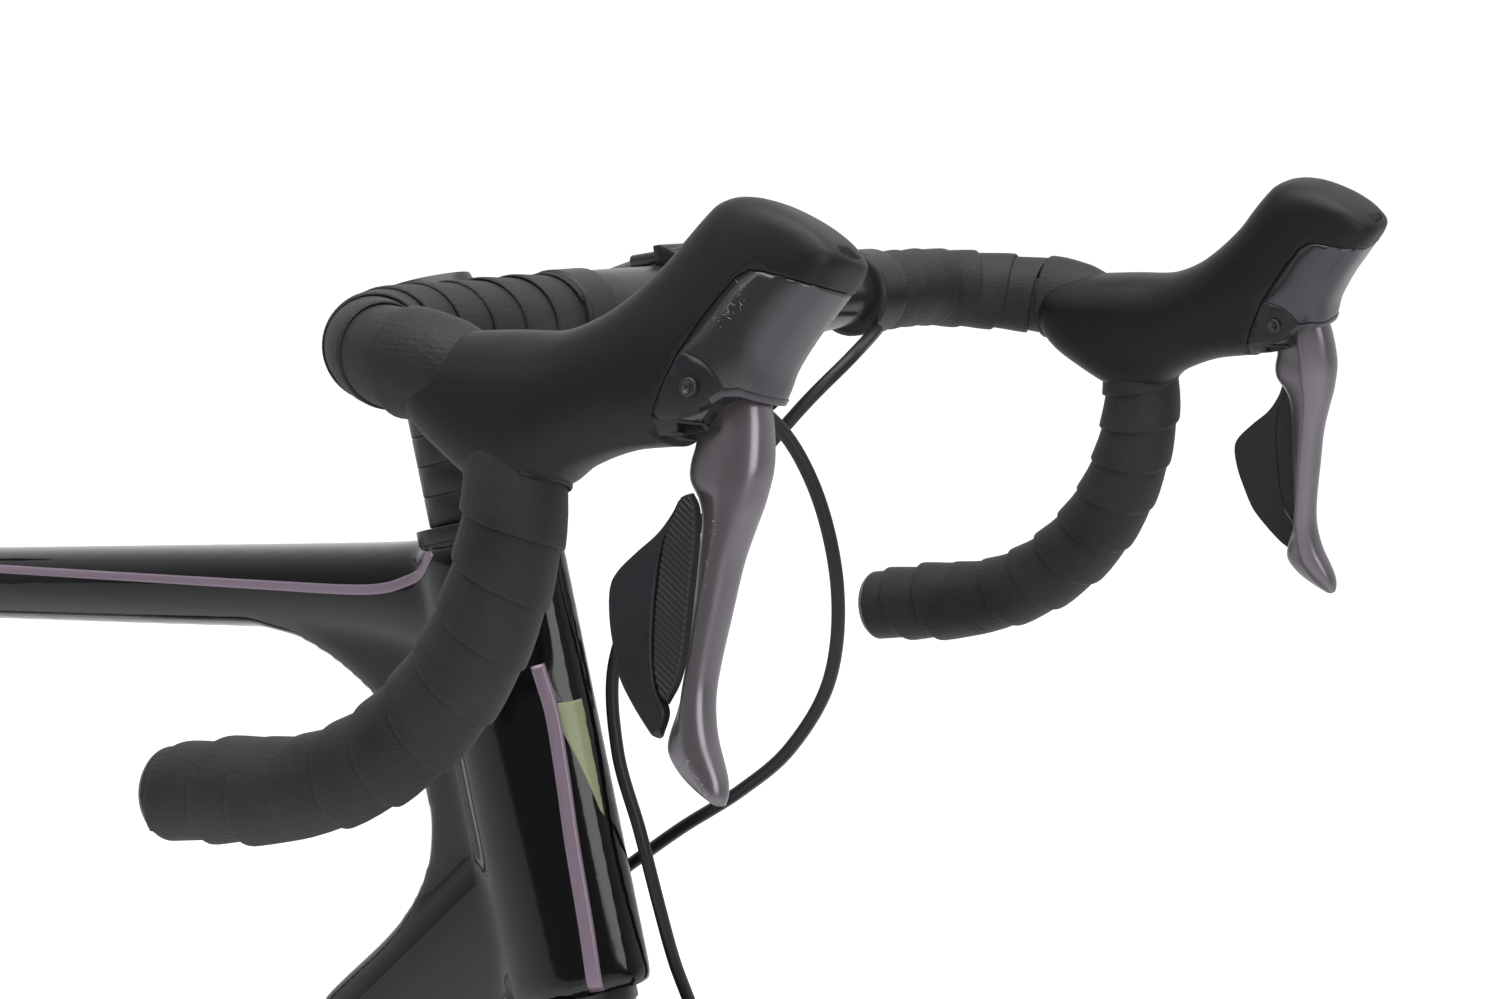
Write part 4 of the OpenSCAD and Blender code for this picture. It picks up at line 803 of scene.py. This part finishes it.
def build_frame():
    head = loft([hull_ring(crown + z * steer_up, steer_fwd, SIDE, 25.8, 11.8, 24) for z in (7.5, 30, 60, 90,
            120, 150, HEAD_LEN - 0.5)])
    t = [0, 0.04, 0.09, 0.18, 0.35, 0.65, 1.0]
    rings = []
    for k in t:
        c = top_a + (top_b - top_a) * k
        h = 26 - 80 * k if k < 0.1 else 18 - 5 * k
        rings.append(np.concatenate([c - [0, 0, 5 - 40 * k if k < 0.1 else 0.5], [h, 21 - 6 * k]]))
    top = loft([oval(q[:3], UP, SIDE, q[3], q[4], 2.6, 40) for q in spline(rings, 60)])
    d = unit(bb - down_a)
    side = np.array([-d[2], 0, d[0]])
    down = loft([oval(down_a + (bb - down_a) * k, side, -SIDE, 31 - 4 * k, 22 + 5 * k, 2.7,
            40) for k in np.linspace(0, 1, 24)])
    # the web behind the head tube, scooped between the top and down tubes
    waist = [(-200, -130), (-345, -118), (-338, -141), (-310, -146), (-284, -156), (-262, -172), (-249, -190),
             (-243, -210), (-247, -232), (-262, -256), (-300, -300), (-240, -300), (-204, -250), (-198, -190)]
    o = spline(np.array([(x, 0, z) for x, z in waist]) + lever_at * [1, 0, 1], 90, closed=True)
    web = loft([o * [1, 0, 1] + [0, y, 0] for y in np.linspace(-15, 15, 7)])
    shell = turned(bb - SIDE * 33.5, SIDE, [(0, 23.5), (67, 23.5)], 48)
    seat = turned(bb, seat_up, [(0, 18), (SEAT_TOP - 1, 18)], 48)
    parts = [head, top, down, web, shell, seat]
    stay_foot = bb + 400 * seat_up
    for s in (-1, 1):
        parts.append(stay([bb + [-10, s * 20, -2], bb + [-66, s * 27, 2], bb + [-120, s * 36, 10],
                bb + [-230, s * 55, 30],
                           bb + [-340, s * 72.5, 54], rear_axle + [10, s * 75, -3]],
                           [18, 15, 14, 12, 11, 11], [10, 8, 7.5, 6.5, 4.8, 3.6]))
        parts.append(stay([stay_foot + [-6, s * 10, 3], stay_foot + [-34, s * 22, -20],
                stay_foot * 0.65 + rear_axle * 0.35 + [0, s * 38, 4],
                           stay_foot * 0.3 + rear_axle * 0.7 + [0, s * 60, 2], rear_axle + [8, s * 75, 12]],
                          [14, 10, 8.5, 8, 9], [8, 6.2, 5.8, 5.4, 3.6]))
        parts.append(turned(rear_axle + SIDE * s * 71.8, SIDE * s, [(0, 16.5), (5.8, 16.5)], 40))
    hang = [(-16, -4), (-16, -30), (-13, -34), (2, -34), (6, -30), (11, -4)]
    parts.append(loft([np.array([(rear_axle[0] + x, y, rear_axle[2] + z) for x, z in hang]) for y in (-77.3,
            -72.2)]))
    skin = skinned("frame_skin", parts, MAT["carbon_frame"], 2.6, 14)
    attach(skin, "frame")
    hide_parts("head_tube", "top_tube", "down_tube", "seat_tube", "chainstays", "seatstays")
    return skin


def build_fork():
    parts = []
    leg_a = crown - 14 * steer_up
    for s in (-1, 1):
        rings = []
        for t in np.linspace(0, 0.985, 28):
            c = leg_a + (front_axle - leg_a) * t + [8 * math.sin(math.pi * t), s * (27 + 29 * t**0.85), 0]
            rings.append(oval(c, SIDE, unit(np.cross(unit(front_axle - leg_a), SIDE)), 8.5 - 3.1 * t,
                    24 - 13 * t, 2.3, 32))
        parts.append(loft(rings))
        parts.append(turned(front_axle + SIDE * s * 50.6, SIDE * s, [(0, 12.5), (10, 12.5)], 40))
    top = crown - 15 * steer_up + [2, 0, 0]
    parts.append(loft([oval(top + [0, y, 0], steer_fwd, steer_up, a, b, 2.5, 32)
                       for y, a, b in ((-35, 18, 8), (-30, 22, 11), (-18, 25, 13), (0, 25, 13),
                       (18, 25, 13), (30, 22, 11), (35, 18, 8))]))
    parts.append(turned(crown - 8 * steer_up, steer_up, [(0, 24.5), (8, 24.5)], 48))
    skin = skinned("fork_skin", parts, MAT["carbon_frame"], 2.2, 10)
    steerer = mesh_piece("steerer", *turned(crown, steer_up, [(-4, 14.2), (279, 14.2)], 40),
            MAT["carbon_parts"])
    for piece in (skin, steerer):
        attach(piece, "steering")
    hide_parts("fork")
    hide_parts("fork")


def ribbon_on(name, target, line, width, side, mat, lift=0.25, body="frame"):
    """A painted band: a line seen from the side (X, Z), laid on the surface from +Y or -Y."""
    tree = BVHTree.FromObject(target, bpy.context.evaluated_depsgraph_get())
    p = resample(spline([(x, 0, z) for x, z in line], 30 * len(line)), 2.0)[0]
    t = np.gradient(p, axis=0)
    t /= np.linalg.norm(t, axis=1)[:, None]
    n = np.stack([-t[:, 2], np.zeros(len(t)), t[:, 0]], 1)
    widths = np.interp(np.linspace(0, 1, len(p)), np.linspace(0, 1, len(width)), width)
    cols = 5
    rows = []
    for i, c in enumerate(p):
        row = []
        for k in np.linspace(-0.5, 0.5, cols):
            q = c + n[i] * widths[i] * k
            hit, normal, _, _ = tree.ray_cast(Vector((q[0] * MM, side * 0.3, q[2] * MM)),
                    Vector((0, -side, 0)))
            row.append(None if hit is None else (hit + normal * lift * MM) / MM)
        if all(r is not None for r in row):
            rows.append(row)
    if len(rows) < 2:
        return None
    verts = np.array(rows, float).reshape(-1, 3)
    piece = mesh_piece(name, verts, grid_faces(len(rows), cols, 0, False), mat)
    modified(piece, "SOLIDIFY", thickness=0.3 * MM, offset=-1)
    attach(piece, body)
    return piece


def wedge(side, word, target, rear, front):
    """A tapering painted panel between two lines on the head tube, each point given by its
    height above the crown race, its distance ahead of the steering axis and its offset to the side."""
    tree = BVHTree.FromObject(target, bpy.context.evaluated_depsgraph_get())
    a, b = (spline([crown + h * steer_up + ahead * steer_fwd - side * y * SIDE for h, ahead, y in line],
            40) for line in (rear, front))
    verts = []
    for p, q in zip(a, b):
        for t in np.linspace(0, 1, 12):
            at, normal, _, _ = tree.find_nearest(Vector((p + (q - p) * t) * MM))
            verts.append((at + normal * 0.25 * MM) / MM)
    piece = mesh_piece("lime_wedge_" + word, verts, grid_faces(40, 12, 0, False), MAT["lime"])
    modified(piece, "SOLIDIFY", thickness=0.3 * MM, offset=-1)
    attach(piece, "frame")


def build_graphics(skin):
    ox, oz = lever_at[0], lever_at[2]

    def at(pts):
        return [(ox + x, oz + z) for x, z in pts]

    for side, word in ((-1, "right"), (1, "left")):
        top_line = at([(-718.0, -163.5), (-548.8, -146.5), (-389.6, -130.6), (-329.0, -124.6),
                (-272.2, -118.5), (-251.3, -112.0), (-242.1, -105.7), (-237.0, -98.4)])
        ribbon_on("pinstripe_top_" + word, skin, top_line, (3.2, 3.2, 3.4, 4.2), side, MAT["pinstripe"])
        head_line = at([(-192.5, -136.8), (-186.4, -152.5), (-179.9, -176.0), (-173.4, -201.7),
                (-164.9, -232.8), (-158.4, -258.4)])
        ribbon_on("pinstripe_head_" + word, skin, head_line, (4.4, 4.6, 4.8), side, MAT["pinstripe"],
                lift=0.5)
        if side < 0:
            wedge(side, word, skin, [(118.1, 26.4, -12.8), (96.6, 31.2, -9.3), (74.7, 36.0, -5.9)],
                  [(117.8, 38.2, -4.4), (95.3, 37.8, -4.6), (73.2, 37.3, -5.0)])


def build_saddle():
    rail_at = bb + SADDLE_UP * seat_up
    mid = rail_at + [5, 0, 26]
    xs = [-137, -133, -122, -105, -75, -40, 0, 45, 90, 118, 131, 136]
    hw = [0.50, 0.66, 0.86, 0.98, 1.0, 0.84, 0.57, 0.38, 0.30, 0.26, 0.19, 0.1]
    hh = [3.5, 7, 11, 14, 16, 16, 15, 14, 13, 11, 8, 4]
    rows = spline(np.array([xs, hw, hh]).T, 90)

    def section(x, w, low, high, inset=0.0):
        """Crowned section: the top dips along the middle and rolls over at the edges."""
        t = np.linspace(0, 2 * math.pi, 56, endpoint=False)
        half = 71.5 * w - inset
        y = half * np.sign(np.cos(t)) * np.abs(np.cos(t)) ** 0.82
        z = np.where(np.sin(t) > 0, high * np.abs(np.sin(t)) ** 0.8, -low * np.abs(np.sin(t)) ** 0.7)
        dip = np.exp(-(y / 9) ** 2) * np.clip((90 - abs(x + 5)) / 40, 0, 1) * 2.6
        z = z - np.where(np.sin(t) > 0, dip, 0)
        return np.stack([np.full_like(y, x), y, z], 1) + mid

    pad = mesh_piece("saddle_cushion", *loft([section(x, w, 3.2, h) for x, w, h in rows]),
            MAT["saddle_cover"])
    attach(pad, "frame")
    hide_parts("saddle_pad")
    shell = mesh_piece("saddle_shell", *loft([section(x, w, 7.0, 0.5, 0.6) - [0, 0, 2.6] for x, w,
            _ in rows]), MAT["black_plastic"])
    piping = []
    for s in (-1, 1):
        path = np.array([mid + [x, s * (71.5 * w + 0.1), -2.6] for x, w, _ in rows[2:-2]])
        piping.append(tube(path, 1.1, 10))
    seam = mesh_piece("saddle_seam", *together(*piping), MAT["black_plastic"])
    rails = []
    for s in (-1, 1):
        rails.append(tube(spline([mid + [-100, s * 30, -6], mid + [-92, s * 27, -14],
                rail_at + [-62, s * 23, -1.5],
                                  rail_at + [-42, s * 22, 0], rail_at + [0, s * 22, 0],
                                  rail_at + [42, s * 22, 0], rail_at + [62, s * 20, 3],
                                  rail_at + [100, s * 13, 15], mid + [110, s * 9, -5]], 90), 3.5, 20))
    rail = mesh_piece("saddle_rails", *together(*rails), MAT["black_steel"])
    for piece, slot in ((shell, "black_plastic"), (seam, "black_plastic"), (rail, "black_steel")):
        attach(piece, "frame")
        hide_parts("saddle_base")


# ---- carried-over CAD nodes: bevelled edges and their materials ----
def finish_nodes():
    owner = {s["node"]: s["material_slot"] for s in frame["record"]["subparts"]}
    for name, obj in frame["nodes"].items():
        if obj.hide_render:
            continue
        obj.data.materials.clear()
        obj.data.materials.append(MAT[owner[name]])
        if len(obj.data.polygons) < 60000:
            for poly in obj.data.polygons:
                poly.use_smooth = True
            weld = obj.modifiers.new("weld", "WELD")
            weld.merge_threshold = 0.00001
            edge = obj.modifiers.new("split", "BEVEL")
            edge.width = 0.0004
            edge.segments = 2
            edge.limit_method = "ANGLE"
            edge.angle_limit = math.radians(35)
            edge.harden_normals = True


# ---- stage ----
def build_stage():
    floor = mesh_piece("floor", [(-9000, -9000, -0.5), (9000, -9000, -0.5), (9000, 9000, -0.5),
            (-9000, 9000, -0.5)], [(0, 1, 2, 3)],
                       None, smooth=False)
    mat = material("pale_floor", (0.86, 0.86, 0.87), 0.75, vary=0.01, grain=30, bump=0.02, spots=0.8)
    shader = mat.node_tree.nodes["Principled BSDF"]
    shader.inputs["Emission Color"].default_value = (1, 1, 1, 1)
    # the floor glows to the eye as the backdrop does, but throws little of that light on the bicycle
    floor_tree = mat.node_tree
    seen_from = floor_tree.nodes.new("ShaderNodeLightPath")
    glow = floor_tree.nodes.new("ShaderNodeMapRange")
    glow.inputs["To Min"].default_value = 0.15
    glow.inputs["To Max"].default_value = 0.55
    floor_tree.links.new(seen_from.outputs["Is Camera Ray"], glow.inputs["Value"])
    floor_tree.links.new(glow.outputs["Result"], shader.inputs["Emission Strength"])
    floor.data.materials.clear()
    floor.data.materials.append(mat)

    world = bpy.data.worlds.new("studio")
    bpy.context.scene.world = world
    world.use_nodes = True
    nodes, links = world.node_tree.nodes, world.node_tree.links
    back = nodes["Background"]
    out = nodes["World Output"]
    seen = nodes.new("ShaderNodeBackground")
    seen.inputs["Color"].default_value = (1, 1, 1, 1)
    seen.inputs["Strength"].default_value = 1.06
    path = nodes.new("ShaderNodeLightPath")
    mix = nodes.new("ShaderNodeMixShader")
    where = nodes.new("ShaderNodeTexCoord")
    split = nodes.new("ShaderNodeVectorMath")
    split.operation = "DOT_PRODUCT"
    split.inputs[1].default_value = (-0.3, 0.75, 0.6)
    links.new(where.outputs["Generated"], split.inputs[0])
    spread = nodes.new("ShaderNodeMapRange")
    spread.inputs["From Min"].default_value = -0.5
    spread.inputs["From Max"].default_value = 0.9
    spread.inputs["To Min"].default_value = 0.13
    spread.inputs["To Max"].default_value = 0.9
    links.new(split.outputs["Value"], spread.inputs["Value"])
    back.inputs["Color"].default_value = (0.97, 0.98, 1.0, 1)
    links.new(spread.outputs["Result"], back.inputs["Strength"])
    links.new(path.outputs["Is Camera Ray"], mix.inputs[0])
    links.new(back.outputs[0], mix.inputs[1])
    links.new(seen.outputs[0], mix.inputs[2])
    links.new(mix.outputs[0], out.inputs["Surface"])

    def softbox(name, at, target, size, power):
        data = bpy.data.lights.new(name, "AREA")
        data.shape = "RECTANGLE"
        data.size, data.size_y = size
        data.energy = power
        lamp = bpy.data.objects.new(name, data)
        lamp.location = at
        lamp.rotation_euler = (Vector(target) - Vector(at)).to_track_quat("-Z", "Y").to_euler()
        bpy.context.scene.collection.objects.link(lamp)

    softbox("overhead", (0.6, -0.2, 2.6), (0.35, 0, 0.8), (2.4, 1.6), 46)
    softbox("front_fill", (2.4, -1.4, 1.7), (0.4, -0.1, 0.8), (1.4, 1.6), 22)
    softbox("rear_side", (-1.0, -2.2, 2.6), (0.2, 0, 0.8), (1.2, 1.2), 7)


# ---- camera: from ahead and to the right of the bars, looking back across them ----
def build_camera():
    data = bpy.data.cameras.new("camera")
    data.lens, data.sensor_width = 68.9, 36
    data.clip_start, data.clip_end = 0.05, 60
    camera = bpy.data.objects.new("camera", data)
    bpy.context.scene.collection.objects.link(camera)
    yaw, pitch, roll = (math.radians(a) for a in (32.958, 9.0, 2.592))
    ahead = Vector((-math.sin(yaw) * math.cos(pitch), math.cos(yaw) * math.cos(pitch), -math.sin(pitch)))
    level = Vector((math.cos(yaw), math.sin(yaw), 0))
    top = level.cross(ahead)
    right = level * math.cos(roll) + top * math.sin(roll)
    up = top * math.cos(roll) - level * math.sin(roll)
    turn = Matrix((right, up, -ahead)).transposed().to_4x4()
    eye = Vector(lever_at * [1, 0, 1] * MM) + Vector((0.44507, -0.85583, 0.0965))
    camera.matrix_world = Matrix.Translation(eye) @ turn
    bpy.context.scene.camera = camera
    bpy.context.scene.view_settings.view_transform = "Standard"


build_camera()
build_stage()
build_levers()
build_blades()
build_scuffs(bpy.data.objects["cover_right"])
build_paddles()
for piece_name, node_name in (("hood_right", "hoods"), ("cover_right", "lever_bodies"),
        ("hood_left", "hoods"), ("cover_left", "lever_bodies"),
                              ("pivot_screw_right", "pivot_pins"), ("pivot_screw_left", "pivot_pins")):
    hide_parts(node_name)
build_bar()
build_hoses()
skin = build_frame()
build_fork()
build_graphics(skin)
build_saddle()
finish_nodes()
